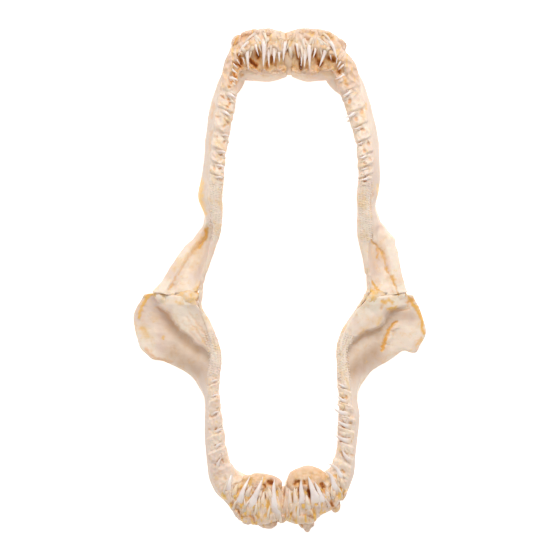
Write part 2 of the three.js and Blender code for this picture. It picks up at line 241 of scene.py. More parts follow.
# The rim along the outside of the upper jaw's rear, and the hollow beside it. inside to crest is the way across the
# plate that it climbs, from 0 at the lip to 1 at the free edge, and starts to full the way along, from the front.
RIM = {"height": 5.0, "inside": 0.6, "crest": 0.72, "starts": 0.66, "full": 0.76}
FOSSA_DEPTH, FOSSA_ACROSS, FOSSA_WIDTH = 1.8, 0.38, 0.22
FOSSA_ENDS = (0.9, 0.99)
JOINT_SWAY, FRONT_SWAY, REAR_SWAY = 0.4, 9.6, 2.8    # how far the midline lies to the animal's left
JOINT_ALONG, FRONT_SPAN, REAR_SPAN = -20, 250, 150
# How far the drying has pushed both halves towards the animal's right, or below 0 towards its left: (along, the
# mouth's edge and the outer edge as across, and the push at each).
WARP = [
    (-186, 12, 40, 0.5, 1.5), (-156, 30, 51, 0.5, 1.3), (-129, 44, 57, 0.4, 0.8), (-92, 46, 59, 0.8, -1.6),
    (-80, 45, 61, 1.5, 0.4),
    (-62, 43, 86, 0.5, 3), (-45, 46, 109, 1.2, -0.9), (-24, 56, 108, 0, 0.8), (-10, 63, 97, -1.8, 0.6),
    (0, 62, 92, -2, -1.6), (8, 60, 88, -2.3, -2.4), (16, 57, 83, -2, -3.3), (24, 54, 79, -1.5, -4.8),
    (31, 52, 74, -1.3, -7.5), (38, 51, 69, -1.2, -6.8), (46, 51, 67, -1.0, -3.2), (63, 50.5, 68, 0.3, 1.6),
    (78, 50, 67, 0, 0), (99, 50, 66, 0, -0.3), (131, 41, 60, 0.8, 0.4), (149, 33.4, 54, 3, -0.6),
    (170, 22, 48, 1, -1.6), (186, 10, 36, 0, -2.4),
]
# The crest of the lower jaw's shoulder, and what drying and glue have left on each half: lines of (x, y), how wide,
# how far sunk (below 0 is raised), and how much brown stain and golden ligament film.
CREST = {
    "right": [(-100.7, -15.6), (-94.6, -19), (-84, -26.6), (-79.4, -34.6), (-70.3, -42.2), (-64.2, -48.3),
              (-52.8, -56.2), (-47.5, -66.5)],
    "left": [(101.5, -20.1), (92.3, -22.4), (85.5, -24.7), (81.7, -33.1), (77.9, -37.6), (67.3, -39.6),
             (57.4, -45.2), (50.5, -55.9)],
}
CREST_RISE = 6.5
CREST_FOOT, CREST_TOP = -0.9, 1.3            # how far to each side of its line the crest climbs
CREST_FALL, CREST_FALLS = 0.55, (3, 20)      # how much of it is lost again, and between which distances
FLANGE_BEGINS, FLANGE_FULL = 0.52, 0.7       # the shares of the plate's length where the shoulder opens
CREST_FADES = {"right": (-98.4, -16.3, 13), "left": (101.5, -19.4, 9)}    # it dies out here, and within how far
CREST_SHADE, CREST_SHADE_REACH = 0.72, 8    # painted shade darkens the hollow under the crest
# Where an edge has dried out of line: (x, y, how far it has moved along x and y, how wide).
PULLS = {
    ("upper", "left"): [(76.4, 53.6, -2.6, 0, 7), (84.7, 34.6, -4.7, 0, 9), (87.8, 23.9, -2.9, 0, 9),
                        (93.1, 8, -2.2, 0, 10), (94.6, -1.1, -0.9, 0, 7), (54.3, 173.7, -2.6, -0.8, 11)],
    ("lower", "left"): [(61.2, -90.8, -3.2, 0, 9), (102.2, -14.1, -1.8, -1.4, 4), (35.3, -181.3, -2.6, 3.2, 8),
                        (103, -55.1, 2.4, -1.6, 5), (94.6, -59.7, 0.6, 3.4, 6), (111.3, -39.9, 1.0, 0, 6)],
    ("lower", "right"): [(-37.6, -172.9, 2.4, 1.6, 9), (-95.4, -60.4, -1.2, -2.0, 5), (-107.5, -28.5, -1.0, 0, 6)],
}
# Painted shade that darkens the wide hollows: (line, how wide, how dark).
HOLLOW_SHADES = {
    "right": [([(-80.9, -55.9), (-71.8, -61.9), (-61.2, -69.5)], 8, 0.68),
              ([(-95.4, -23.2), (-88.5, -29.3)], 4.5, 0.22),
              ([(-60.4, -31.5), (-54.3, -45.2)], 4.0, 0.2)],
    "left": [([(74.1, -54.3), (63.5, -63.5), (54.3, -71.1)], 8, 0.82),
             ([(84.7, -27.7), (92.3, -28.5), (101.5, -28.5)], 4.5, 0.58),
             ([(80.2, -36.1), (75.6, -45.2)], 5, 0.58), ([(71.1, -33.1), (63.5, -36.1)], 4, 0.2)],
}
# At the joint, the last share of each plate, the lower one runs under the upper one, whose end swells to a knob
# beside an inner corner that is drawn back.
JOINT_FROM = 0.95
JOINT_TUCK, JOINT_DROP = 3.4, 0.5
CONDYLE, CONDYLE_ACROSS, CONDYLE_WIDTH = 2.5, 0.42, 0.24
CORNER_BACK, CORNER_WIDTH = 2.0, 0.26
# A small lump at the outer corner of the upper jaw's joint: (middle as x, y, z, half sizes, turn in degrees).
KNOBS = {
    "right": [((-88.5, -14.8, 12.8), (6.5, 4.4, 4.0), -24)],
    "left": [((90.4, -13.6, 13.2), (6.4, 4.6, 4.0), 12)],
}
UPPER_MARKS = {
    "right": [
        ([(-54.7, 39.9), (-55.1, 31.5), (-60.4, 24.7), (-65, 20.9), (-70.3, 13.3), (-74.9, 5.7), (-79.4, -1.1),
          (-83.6, -8.7)], 0.9, 0.8, 0.15, 0.42),
        ([(-55.1, 37.6), (-55.5, 30.8), (-60.4, 23.9)], 1.8, 0.3, 0.04, 0.8),
        ([(-57.4, 33.1), (-64.2, 20.1)], 4.0, 0.0, 0.0, 0.5),
        ([(-57.4, 29.3), (-61.9, 15.6)], 6.5, 0, 0.0, 0.32),
        ([(-61.9, 15.6), (-65, 8)], 4.0, 0, 0.0, 0.2),
        ([(-71.1, 16.3), (-78.7, 7.2)], 2.8, 0, 0.0, 0.42),
        ([(-69.5, 18.6), (-72.6, 14.8)], 1.8, 0, 0.0, 0.45),
        ([(-60.4, -7.2), (-63.5, -14.1), (-58.9, -15.6)], 3.6, -0.6, 0.0, 0.72),
        ([(-90.1, -11.8), (-84.7, -14.8), (-77.9, -16.3)], 2.0, 0.2, 0.0, 0.4),
        ([(-84, -14.1), (-76.4, -16.7), (-71.1, -16.3), (-65.7, -13.3)], 1.1, 1.0, 0.65, 0.2),
        ([(-50.5, 23.9), (-53.2, 12.5), (-55.9, 1.9), (-57.8, -10.3)], 0.9, 0.4, 0.28, 0.1),
        ([(-55.9, 3.4), (-55.9, 1.1)], 1.2, 0.3, 0.5, 0.0),
        ([(-59.3, 73.3), (-59.7, 62.7), (-58.1, 49.8)], 3.4, 0, 0.0, 0.85),
        ([(-54, 71.8), (-53.9, 49), (-54.7, 38.4)], 1.2, -0.8, 0.0, 0.0),
        ([(-51.3, 70.3), (-51.3, 49)], 1.0, 0.4, 0.18, 0.0),
        ([(-49.4, 132.6), (-50.5, 122)], 1.3, 0.5, 0.3, 0.1),
        ([(-50.9, 111.3), (-52.4, 97.7)], 1.3, 0.5, 0.2, 0.15),
        ([(-27.7, 153.9), (-30, 149.3)], 1.5, 0.8, 0.75, 0.1),
        ([(-31.9, 146.3), (-31.9, 137.9)], 1.6, 0, 0.1, 0.7),
        ([(-35, 132.6), (-36.9, 126.5)], 1.4, 0, 0.06, 0.4),
        ([(-71.8, -7.2), (-70.3, -0.4)], 4.6, -1.4, 0.0, 0.0),
        ([(-24.7, 153.1), (-12.5, 151.6), (4.2, 153.1)], 4.5, 0.3, 0.0, 0.3),
        ([(-26.2, 147.1), (-15.6, 147.4), (1.1, 145.5)], 0.9, 0.9, 0.2, 0.3),
        ([(-21.7, 150.5), (-9.5, 149.3), (-1.1, 150.1)], 0.8, 0.8, 0.1, 0.35),
        ([(4.2, 147.8), (5.7, 143.3)], 0.9, 0.8, 0.45, 0.2),
    ],
    "left": [
        ([(66.5, 38.4), (68.6, 31.5), (70.7, 28.1), (75.6, 24.3), (80.2, 17.9), (81.3, 9.8), (86, 0.5),
          (89.3, -6.5), (91.2, -12.8)], 0.9, 0.9, 0.2, 0.62),
        ([(75.6, 23.2), (75.2, 15.6)], 1.2, 0.3, 0.3, 0.5),
        ([(77.1, 22.4), (80.9, 14.8)], 1.8, 0.2, 0.15, 0.6),
        ([(70.3, 24.7), (72.6, 15.6)], 3.6, 0, 0.0, 0.24),
        ([(85.9, 1.1), (88.5, -1.9)], 2.2, -0.2, 0.0, 0.6),
        ([(70.8, -1.9), (74.1, -6.5), (79.4, -13.3)], 1.1, 0.8, 0.25, 0.8),
        ([(69.5, -9.5), (73.3, -11.8), (68, -15.6)], 3.6, -0.4, 0.0, 0.75),
        ([(82.5, -14.8), (88.8, -15.6)], 1.6, 0.2, 0.1, 0.8),
        ([(73.9, 66.5), (71.8, 53.6), (68.5, 37.6)], 1.6, -1.2, 0.0, 0.0),
        ([(71.5, 66.5), (69.2, 52.1), (66.2, 36.9)], 1.0, 0.6, 0.3, 0.05),
        ([(75.5, 71.1), (75.5, 61.2)], 1.6, 0, 0.0, 0.6),
        ([(65.7, 132.6), (66.1, 128.1)], 1.3, 0.4, 0.1, 0.5),
        ([(42.6, 149.7), (46, 144)], 1.4, 0.6, 0.6, 0.15),
        ([(77.9, 1.9), (80.2, -7.2)], 5.6, -1.6, 0.0, 0.0),
        ([(10.3, 153.1), (27, 151.6), (40.7, 154.7)], 4.5, 0.3, 0.0, 0.32),
        ([(13.3, 145.5), (25.5, 147.4), (40.7, 147.8)], 0.9, 0.9, 0.2, 0.3),
        ([(16.3, 150.1), (27, 149), (36.1, 150.9)], 0.8, 0.8, 0.1, 0.35),
        ([(90.1, 9.5), (92.3, -4.2)], 2.0, -0.6, 0.0, 0.0),
    ],
}
LOWER_MARKS = {
    "right": [
        ([(-96.1, -11), (-101.5, -14.8), (-104.9, -21.7), (-106.8, -30)], 1.5, -0.5, 0.12, 0.75),
        ([(-96.1, -11.8), (-93.9, -13.3)], 1.6, 0, 0.1, 0.8),
        ([(-104.5, -38.4), (-100.7, -43.7)], 3.4, 0, 0.0, 0.6),
        ([(-88.2, -44.5), (-88.2, -46)], 1.5, 0, 0.05, 0.7),
        ([(-92.3, -21.7), (-84.7, -27.7), (-81.7, -33.8), (-76.4, -39.9)], 1.3, 0.5, 0.3, 0.1),
        ([(-87.8, -30), (-80.9, -39.1), (-71.8, -47.5), (-62.7, -55.9)], 5.5, 0.8, 0.14, 0.0),
        ([(-101.5, -53.6), (-96.9, -59.7), (-90.8, -61.6), (-81.7, -63.5)], 1.3, 0, 0.28, 0.15),
        ([(-61.9, -16.3), (-57.4, -29.3), (-50.5, -44.5), (-47.5, -55.9)], 1.0, 0.5, 0.12, 0.1),
        ([(-77.9, -17.9), (-74.1, -19.4)], 2.2, 0, 0.0, 0.5),
        ([(-70.3, -14.1), (-63.5, -17.9)], 3.0, 0, 0.0, 0.6),
        ([(-77.9, -23.9), (-71.8, -33.1)], 3.0, 0, 0.0, 0.15),
        ([(-68, -35.3), (-65.7, -38.4)], 1.6, 0.2, 0.08, 0.3),
        ([(-70.3, -29.3), (-61.9, -39.9), (-52.8, -53.6)], 0.8, 0.5, 0.2, 0.0),
        ([(-67.3, -27), (-58.9, -37.6), (-51.3, -51.3)], 0.8, 0.5, 0.2, 0.0),
        ([(-73.3, -32.3), (-65, -42.9), (-55.1, -54.3)], 0.8, 0.4, 0.16, 0.05),
        ([(-96.9, -35.3), (-93.1, -46.7)], 7.0, -1.2, 0.0, 0.0),
        ([(-61.2, -31.5), (-55.1, -45.2)], 4.0, 0.5, 0.02, 0.0),
    ],
    "left": [
        ([(99.2, -14.1), (102.2, -17.9), (106, -23.2), (109.8, -32.3), (110.7, -42.2)], 1.6, -0.4, 0.16, 0.85),
        ([(98.4, -18.6), (102.2, -16.3)], 1.8, 0.2, 0.45, 0.5),
        ([(109.8, -45.2), (106, -51.3)], 1.3, 0, 0.1, 0.5),
        ([(90.1, -33.4), (85.1, -37.5), (82.5, -43.7), (80.7, -47.8), (79.4, -55.1)], 1.3, 1.4, 0.5, 1.0),
        ([(77.1, -30), (74.9, -34.6)], 2.6, 0, 0.0, 0.5),
        ([(66.5, -37.6), (61.9, -42.2)], 2.2, 0, 0.0, 0.45),
        ([(79.4, -17.9), (84, -16.3), (87, -18.6)], 1.9, 0.2, 0.1, 0.7),
        ([(84.7, -23.2), (89.3, -22.4)], 1.8, 0, 0.05, 0.8),
        ([(80.2, -16.3), (78.7, -23.2)], 1.2, 0.4, 0.2, 0.4),
        ([(84.7, -25.5), (92.3, -23.7), (99.2, -23.2)], 1.0, 0.5, 0.3, 0.1),
        ([(77.9, -38.4), (68, -41.4), (58.1, -48.3)], 1.6, 0.4, 0.16, 0.05),
        ([(54.3, -39.1), (48.3, -55.9)], 1.0, 0.4, 0.14, 0.05),
        ([(95.4, -36.9), (99.9, -46.7)], 6.0, -1.0, 0.0, 0.0),
        ([(89.3, -57.4), (97.7, -57.4)], 1.4, 0, 0.18, 0.1), ([(91.6, -35.7), (87.8, -39.1)], 1.2, -1.2, 0, 0),
        ([(85.9, -43.7), (83.7, -49)], 1.3, -1.2, 0, 0), ([(84, -28.2), (84.4, -29.3)], 1.4, -1.0, 0, 0),
    ],
}
# How the surface has shrivelled: (size of the swells, their height, seed of the noise).
PLATE_SWELLS, PLATE_RIPPLES, PLATE_EDGE = (17.0, 0.5), (4.5, 0.22, 5.0), (13.0, 0.45, 1.0)
PLATE_SEEDS = {"lower": 3.0, "upper": 9.0}
CREST_WANDER = (9.0, 1.2, 12.0)
FRAY_ACROSS, FRAY_ALONG = (3.6, 1.3, 20.0), (3.6, 1.3, 30.0)
MARK_REACH = 1.8                  # how many of its widths a mark reaches
WIDE_MARK, CRISP_EDGE, SOFT_EDGE = 2, 3, 1.7    # marks of this width and more fade out softly
TAU = 2 * math.pi
# What the finishes read from each corner of a mesh: brown stain, golden film, how shut in it is and how it slopes,
# the last two painted as shade; the shut-in one also carries a plain browner tint on some pieces.
TINTS = ("stain_and_shade", "gold", "shade_and_tint", "edge")


def smooth(low, high, value):
    share = min(1.0, max(0.0, (value - low) / (high - low)))
    return share * share * (3 - 2 * share)


def mixed(low, high, share):
    return low + (high - low) * share


def through(rows, share):
    """Where a smooth curve through rows of numbers is, at a share of its rows."""
    rows_between = len(rows) - 1
    first = min(int(share * rows_between), rows_between - 1)
    part = share * rows_between - first
    here, there = rows[first], rows[first + 1]
    before = rows[first - 1] if first else [2 * a - b for a, b in zip(here, there)]
    after = rows[first + 2] if first + 2 <= rows_between else [2 * b - a for a, b in zip(here, there)]
    return [0.5 * (2 * b + (c - a) * part + (2 * a - 5 * b + 4 * c - d) * part ** 2
                   + (3 * b - a - 3 * c + d) * part ** 3)
            for a, b, c, d in zip(before, here, there, after)]


def line_at(rows, share):
    """A place on a smooth line through rows of (x, y, z), and the level and the upward direction across it."""
    ahead, behind = Vector(through(rows, min(1, share + 0.02))), Vector(through(rows, max(0, share - 0.02)))
    forward = (ahead - behind).normalized()
    sideways = forward.cross(Vector((0, 0, 1))).normalized()
    return Vector(through(rows, share)), sideways, sideways.cross(forward)


def rounded(share, first, last):
    """1 along a form and 0 at its two ends, which close like a ball over the first and the last of its length."""
    end = min(1.0, share / first, (1 - share) / last)
    return math.sqrt(max(0.0, 1 - (1 - end) ** 2))


def sway(along):
    past = along - JOINT_ALONG
    if past > 0:
        return JOINT_SWAY + FRONT_SWAY * math.sin(math.pi * past / FRONT_SPAN)
    return JOINT_SWAY + REAR_SWAY * smooth(0, REAR_SPAN, -past)


def warp(across, along):
    after = next((i for i, row in enumerate(WARP[1:], 1) if row[0] > along), len(WARP) - 1)
    low, high = WARP[after - 1], WARP[after]
    share = smooth(low[0], high[0], along)
    inner, outer, at_inner, at_outer = (mixed(a, b, share) for a, b in zip(low[1:], high[1:]))
    outness = min(1.0, max(0.0, (across - inner) / (outer - inner)))
    return smooth(0, inner, across) * mixed(at_inner, at_outer, outness)


def laid(side, spot):
    """A half's (across, along, up) on its own side of the warped midline."""
    across, along, up = spot
    return Vector(((1 if side == "left" else -1) * across + sway(along) - warp(across, along), along, up))


def pulled(jaw, side, place):
    for x, y, push_x, push_y, reach in PULLS.get((jaw, side), ()):
        place += Vector((push_x, push_y, 0)) * math.exp(-((place.x - x) ** 2 + (place.y - y) ** 2) / reach ** 2)
    return place


def rough(spot, size, height, seed):
    return noise.fractal(Vector(spot) / size + Vector((seed, 0, 0)), 1.0, 2.0, 3) * height


def beside(x, y, line):
    """How far a place lies to the left of a line of points, or below 0 to its right."""
    nearest, signed = 1e9, 0.0
    for (ax, ay), (bx, by) in zip(line, line[1:]):
        run_x, run_y = bx - ax, by - ay
        share = min(1.0, max(0.0, ((x - ax) * run_x + (y - ay) * run_y) / (run_x ** 2 + run_y ** 2 + 1e-9)))
        off_x, off_y = x - ax - share * run_x, y - ay - share * run_y
        distance = math.hypot(off_x, off_y)
        if distance < nearest:
            nearest, signed = distance, math.copysign(distance, run_x * off_y - run_y * off_x)
    return signed


def marked(x, y, marks):
    """(how far sunk, stain, gold) that the marks leave at a place, their edges frayed."""
    sunk, stain_and_shade, gold = 0.0, 0.0, 0.0
    x, y = x + rough((x, y, 0), *FRAY_ACROSS), y + rough((x, y, 0), *FRAY_ALONG)
    for line, width, depth, brown, yellow in marks:
        reach = MARK_REACH * width
        if not (min(p[0] for p in line) - reach < x < max(p[0] for p in line) + reach):
            continue
        if not (min(p[1] for p in line) - reach < y < max(p[1] for p in line) + reach):
            continue
        share = math.exp(-abs(beside(x, y, line) / width) ** (CRISP_EDGE if width < WIDE_MARK else SOFT_EDGE))
        sunk += depth * share
        stain_and_shade = max(stain_and_shade, brown * share)
        gold = max(gold, yellow * share)
    return sunk, stain_and_shade, gold


def fresh():
    """An empty mesh with the layers that the finishes read."""
    made = bmesh.new()
    for tint in TINTS:
        made.verts.layers.float.new(tint)
    return made


def skin(mesh, steps, point):
    """A closed tube: a grid wrapped round, its seam merged and each end drawn to a pole. point(share, turn) gives a
    place and its tints."""
    layers = [mesh.verts.layers.float[tint] for tint in TINTS]
    made = bmesh.ops.create_grid(mesh, x_segments=steps[0], y_segments=steps[1], size=0.5)["verts"]
    for vert in made:
        around = round((vert.co.y + 0.5) * steps[1]) % steps[1]
        place, *tints = point(min(1.0, max(0.0, vert.co.x + 0.5)), around / steps[1] * TAU)
        for layer, tint in zip(layers, tints):
            vert[layer] = tint
        vert.co = place * MM
    bmesh.ops.remove_doubles(mesh, verts=made, dist=1e-6)


def keep(name, mesh, finish, slot, *nodes):
    """The finished piece, on the body and in the place of the solids that it stands for."""
    bmesh.ops.recalc_face_normals(mesh, faces=mesh.faces)
    data = bpy.data.meshes.new(name)
    mesh.to_mesh(data)
    mesh.free()
    data.shade_smooth()
    data.materials.append(finish)
    made = shown(name, data)
    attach(made, "root")
    if nodes:
        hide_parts(*nodes)
    return made


# How fine each pattern of the dried tissue is, as repeats in a metre, and what light does in it.
BROAD, PATCHES, PORES, TEARS, FLECKS = 46.0, 150.0, 900.0, 330.0, 560.0
TISSUE_RELIEF, TISSUE_DEPTH = 0.28, 0.0011
TISSUE_LIGHT = {"Subsurface_Weight": 0.25, "Subsurface_Radius": (1.0, 0.66, 0.42), "Subsurface_Scale": 0.0022,
                "Specular_IOR_Level": 0.4}
GOLD, BROWN, DARK_BROWN = colour(243, 194, 106), colour(232, 162, 80), colour(160, 84, 30)
SLOPE_SHADE = colour(208, 184, 169)      # painted shade: the greyer colour of the sides that slope away


def dried_tissue(name, pale, shade, warm, stain_and_shade, roughness, fibre, flecks):
    """Dried cartilage or gum: pale, with shaded and warm patches, browner with painted shade where it is shut in,
    greyer with painted shade on the sides that slope away, brown where the marks stain it, and golden where ligament
    has dried on it."""
    made = Finish(name)
    where = made.place()
    broad = made.grain(where, BROAD, detail=2.0)
    patch = made.grain(where, PATCHES, detail=3.0, distortion=0.4)
    pores = made.grain(where, PORES, detail=2.0)
    fibres = made.grain(made.stretched(where, fibre), 1.0, detail=3.0, distortion=0.6)
    tone = made.tinted(broad.between(0.42, 0.68) * 0.85, pale, shade)
    tone = made.tinted(patch.between(0.46, 0.72) * 0.58, tone, warm)
    shade_and_tint, gold, brown = made.mask("shade_and_tint"), made.mask("gold"), made.mask("stain_and_shade")
    # Painted shade: where a corner is shut in, the colour goes darker and browner.
    tone = made.tinted((shade_and_tint * (0.75 + 0.5 * patch)).clamped() * 0.9, tone, stain_and_shade)
    # Painted shade: sides that slope away from level go greyer.
    tone = made.tinted(made.mask("edge") * 0.8, tone, SLOPE_SHADE)
    fleck = made.grain(where, FLECKS, detail=4.0).between(0.58, 0.66) * patch.between(0.44, 0.6)
    tone = made.tinted(fleck * flecks, tone, GOLD)
    torn = made.grain(where, TEARS, detail=4.0, roughness=0.6)
    tone = made.tinted((gold * (0.1 + 1.9 * torn)).clamped().between(0.05, 1.0), tone, GOLD)
    tone = made.tinted((brown * (0.7 + 1.1 * torn)).clamped(), tone, BROWN)
    tone = made.tinted((brown * brown * 1.5 - 0.4).clamped(), tone, DARK_BROWN)
    height = pores * 0.25 + fibres * 0.6 + patch * 0.8 + torn * 0.5
    return made.finish(Base_Color=tone, Roughness=roughness + 0.2 * pores - 0.12 * gold,
                       Normal=made.relief(height, TISSUE_RELIEF, TISSUE_DEPTH), **TISSUE_LIGHT)


# The stain colour is also the colour of the painted shade in its hollows.
cartilage_finish = dried_tissue(
    "dried_cartilage", pale=colour(252, 233, 214), shade=colour(236, 211, 196), warm=colour(246, 214, 174),
    stain_and_shade=colour(194, 158, 128), roughness=0.42, fibre=(70, 420, 200), flecks=0.45)

LUMP_STEPS = (44, 56)
LUMP_SHADE, LUMP_STRANDS = 0.4, 3.4     # how far a lobe of gum is tinted browner, and how high its strands stand
LUMP_SWELLS, LUMP_RIPPLES = (6.0, 0.9, 2.0), (2.2, 0.3, 4.0)
LUMP_SUNK = 0.6                         # marks go less deep in it than in what it sits on
STRAND_SPACING, STRAND_LENGTH = 2.4, 7.5


def lump(mesh, spot, sizes, turn, marks, shade=0.0):
    """A rounded swelling, with the same marks as what it sits on. One with a shade is a lobe of gum, in strands."""
    cosine, sine = math.cos(math.radians(turn)), math.sin(math.radians(turn))

    def point(share, around):
        polar = share * math.pi
        ball = Vector((math.sin(polar) * math.cos(around), math.sin(polar) * math.sin(around), math.cos(polar)))
        local = Vector(a * b for a, b in zip(ball, sizes))
        place = Vector((local.x * cosine - local.y * sine, local.x * sine + local.y * cosine, local.z)) + Vector(spot)
        place += ball * (rough(place, *LUMP_SWELLS) + rough(place, *LUMP_RIPPLES))
        sunk, stain_and_shade, gold = marked(place.x, place.y, marks)
        top = smooth(0.0, 0.4, ball.z)
        place.z -= LUMP_SUNK * sunk * top
        if shade:
            wander = 0.8 * noise.noise(place / 5)
            strand = noise.noise(Vector((place.x / STRAND_SPACING + wander, place.y / STRAND_LENGTH, 3.0)))
            place.z += (0.2 - abs(strand)) * LUMP_STRANDS * top
            gold = max(gold, 0.6 * smooth(0.12, 0.42, strand))
        return place, stain_and_shade * top, gold * top, shade, 0.0

    skin(mesh, LUMP_STEPS, point)


def plate_at(rows, share):
    flat = through([lip + free + build for lip, free, build in rows], share)
    return Vector(flat[0:3]), Vector(flat[3:6]), flat[6:9]


def crest_at(side, share, place):
    """(how far the shoulder's crest lifts a place of the lower plate, how much painted shade darkens the hollow
    beside it)
    """
    off = beside(place.x, place.y, CREST[side]) * (1 if side == "right" else -1)
    fade_x, fade_y, fade = CREST_FADES[side]
    flange = smooth(FLANGE_BEGINS, FLANGE_FULL, share)
    flange *= 1 - math.exp(-((place.x - fade_x) ** 2 + (place.y - fade_y) ** 2) / fade ** 2)
    off += rough(place, *CREST_WANDER)
    raised = CREST_RISE * flange * smooth(CREST_FOOT, CREST_TOP, off) * (1 - CREST_FALL * smooth(*CREST_FALLS, off))
    # Painted shade in the hollow on the low side of the crest, and in the wide hollows listed for each side.
    hollow_shade = CREST_SHADE * flange * math.exp(min(0.0, off + 0.5) / CREST_SHADE_REACH) * (1 - smooth(-0.8, 0.6, off))
    for path, width, dark in HOLLOW_SHADES[side]:
        hollow_shade = max(hollow_shade, dark * math.exp(-(beside(place.x, place.y, path) / width) ** 2))
    return raised, hollow_shade


def plate(jaw, side, rows, marks):
    """One cartilage. Its outer face carries the upper jaw's rolled rim, or the lower jaw's shoulder."""
    lower = jaw == "lower"
    sections = {}

    def section(share):
        if share not in sections:
            lip, free, build = plate_at(rows, share)
            ahead, behind = plate_at(rows, min(1, share + 0.01)), plate_at(rows, max(0, share - 0.01))
            outwards = (ahead[0] + ahead[1] - behind[0] - behind[1]).cross(free - lip).normalized()
            sections[share] = (lip + free) / 2, (free - lip) / 2, -outwards if lower else outwards, build
        return sections[share]

    def point(share, turn):
        close = rounded(share, FRONT_ROUNDING, REAR_ROUNDING)
        middle, half, outwards, (thick, sag, groove) = section(mixed(0.003, 1.0, share))
        across, rise = math.cos(turn), math.sin(turn)
        face = math.copysign(abs(rise) ** PLATE_FLATNESS, rise)
        height = thick * face - sag * rise ** 2
        out = (1 + across) / 2
        if rise > 0:
            height -= groove * rise ** 2
            if not lower:
                grown = smooth(RIM["starts"], RIM["full"], share)
                height += grown * RIM["height"] * smooth(RIM["inside"], RIM["crest"], out) * face ** 0.5
                hollow = math.exp(-((out - FOSSA_ACROSS) / FOSSA_WIDTH) ** 2) * (1 - smooth(*FOSSA_ENDS, share))
                height -= grown * FOSSA_DEPTH * hollow
        spot = middle + half * across * close + outwards * height * close
        at_joint = smooth(JOINT_FROM, 1.0, share)
        if lower:
            spot.y += JOINT_TUCK * at_joint
            spot.z -= JOINT_DROP * at_joint
        else:
            knob = CONDYLE * math.exp(-((out - CONDYLE_ACROSS) / CONDYLE_WIDTH) ** 2)
            spot.y -= (knob - CORNER_BACK * (1 - smooth(0.0, CORNER_WIDTH, out))) * at_joint
        place = pulled(jaw, side, laid(side, spot))
        sunk, stain_and_shade, gold = marked(place.x, place.y, marks)
        top, hollow_shade = smooth(0.0, 0.35, rise), 0.0
        if lower and share > 0.5:
            raised, hollow_shade = crest_at(side, share, place)
            sunk -= raised
        place.z -= sunk * top * close
        swell = rough(place, *PLATE_SWELLS, PLATE_SEEDS[jaw]) + rough(place, *PLATE_RIPPLES)
        place += Vector((0, 0, 1)) * swell * top * close
        place.x += rough(place, *PLATE_EDGE) * close * (0 if place.z < 4 else 1)
        place.z = max(place.z, 0.0)
        # The painted shade beside the lower jaw's crest goes out through the shut-in channel.
        return place, stain_and_shade * top, gold * (0.35 + 0.65 * top), hollow_shade * top, 0.0

    mesh = fresh()
    skin(mesh, PLATE_STEPS, point)
    if not lower:
        for spot, sizes, turn in KNOBS[side]:
            lump(mesh, spot, sizes, turn, marks)
    return keep(f"{jaw}_plate_{side}", mesh, cartilage_finish, "cartilage", f"{jaw}_cartilage_{side}")


plates = []
for side in ("left", "right"):
    plates.append(plate("upper", side, UPPER_PLATE, UPPER_MARKS[side]))
    plates.append(plate("lower", side, LOWER_PLATE, LOWER_MARKS[side]))

# ---- The gum: a ridge of dried mucous membrane on the edge of each plate, drawn up into a scale over every file of
# ---- teeth and torn open between them. at is the ridge's middle, as (across, along, up), and size its half width
# ---- and half height. Over the front of the lower jaw the ridge is a dome that the fangs are sunk in.
UPPER_GUM = [
    ((0, 171, 29), (15, 8)), ((13, 172, 29.5), (17.5, 10.5)), ((27, 171.5, 29.5), (16.5, 10.5)),
    ((36.5, 167, 31.5), (11, 9)),
    ((42.5, 160, 33.5), (8, 7.5)), ((45.5, 145, 34.5), (7.4, 6.8)), ((49.2, 129, 35.5), (7, 6)),
    ((53.4, 109, 36.2), (6.2, 5.5)), ((56, 90, 36.5), (5.7, 5.2)), ((56.3, 67, 35.5), (5.5, 4.8)),
    ((56, 48, 34), (5, 4.4)), ((56, 35, 32.5), (4.3, 4)), ((57.2, 26, 31), (3.3, 3.3)),
    ((59.5, 14, 29.5), (2.1, 2.4)), ((61.5, 3, 28.2), (1.3, 1.6)),
]
LOWER_GUM = [
    ((0, -167, 30), (14, 8)), ((13, -169, 33), (17, 10.5)), ((26, -167.5, 33), (16.5, 10.5)),
    ((37, -158.5, 33), (11.5, 9.5)), ((45, -145, 33.5), (8.4, 7.4)), ((48.3, -130, 34.5), (6.8, 6.3)),
    ((49.2, -117, 35), (6.2, 5.6)), ((50.2, -99, 35), (5.5, 5)), ((50, -85, 34), (5, 4.6)),
    ((48.5, -70, 33), (4.6, 4.3)), ((47.5, -55, 32), (3.9, 3.8)), ((50.3, -42, 30.5), (2.9, 3)),
    ((54.5, -32, 29.4), (2.1, 2.2)), ((59, -25, 28.4), (1.3, 1.5)),
]
GUM_STEPS = (500, 72)
GUM_FLATNESS = 0.86
GUM_FRONT_ROUNDING, GUM_REAR_ROUNDING = 0.008, 0.02
GUM_ROOT = 1.7                    # how much deeper the gum reaches into its groove than it stands above it
RECESS = 6.0                      # how deep the trough is that the upper front gum leaves above the shelf
RECESS_FROM, RECESS_TO = (-0.05, 0.09), (0.72, 0.92)    # where its two slopes lie, from the ridge's middle inwards
RECESS_EASES = 0.75               # how much of it the slope on the mouth's side takes back
RECESS_BEGINS = (148, 158)
SCALE_RISE, SCALE_SLANT = 2.2, 0.45
SCALE_BORDER = 2.0                # how far inside its crown a scale's border crosses the ridge
FIRST_SCALE = 16
ARM_FROM, ARM_TO = 150, 138       # how far along the front's strands give way to the arm's scales
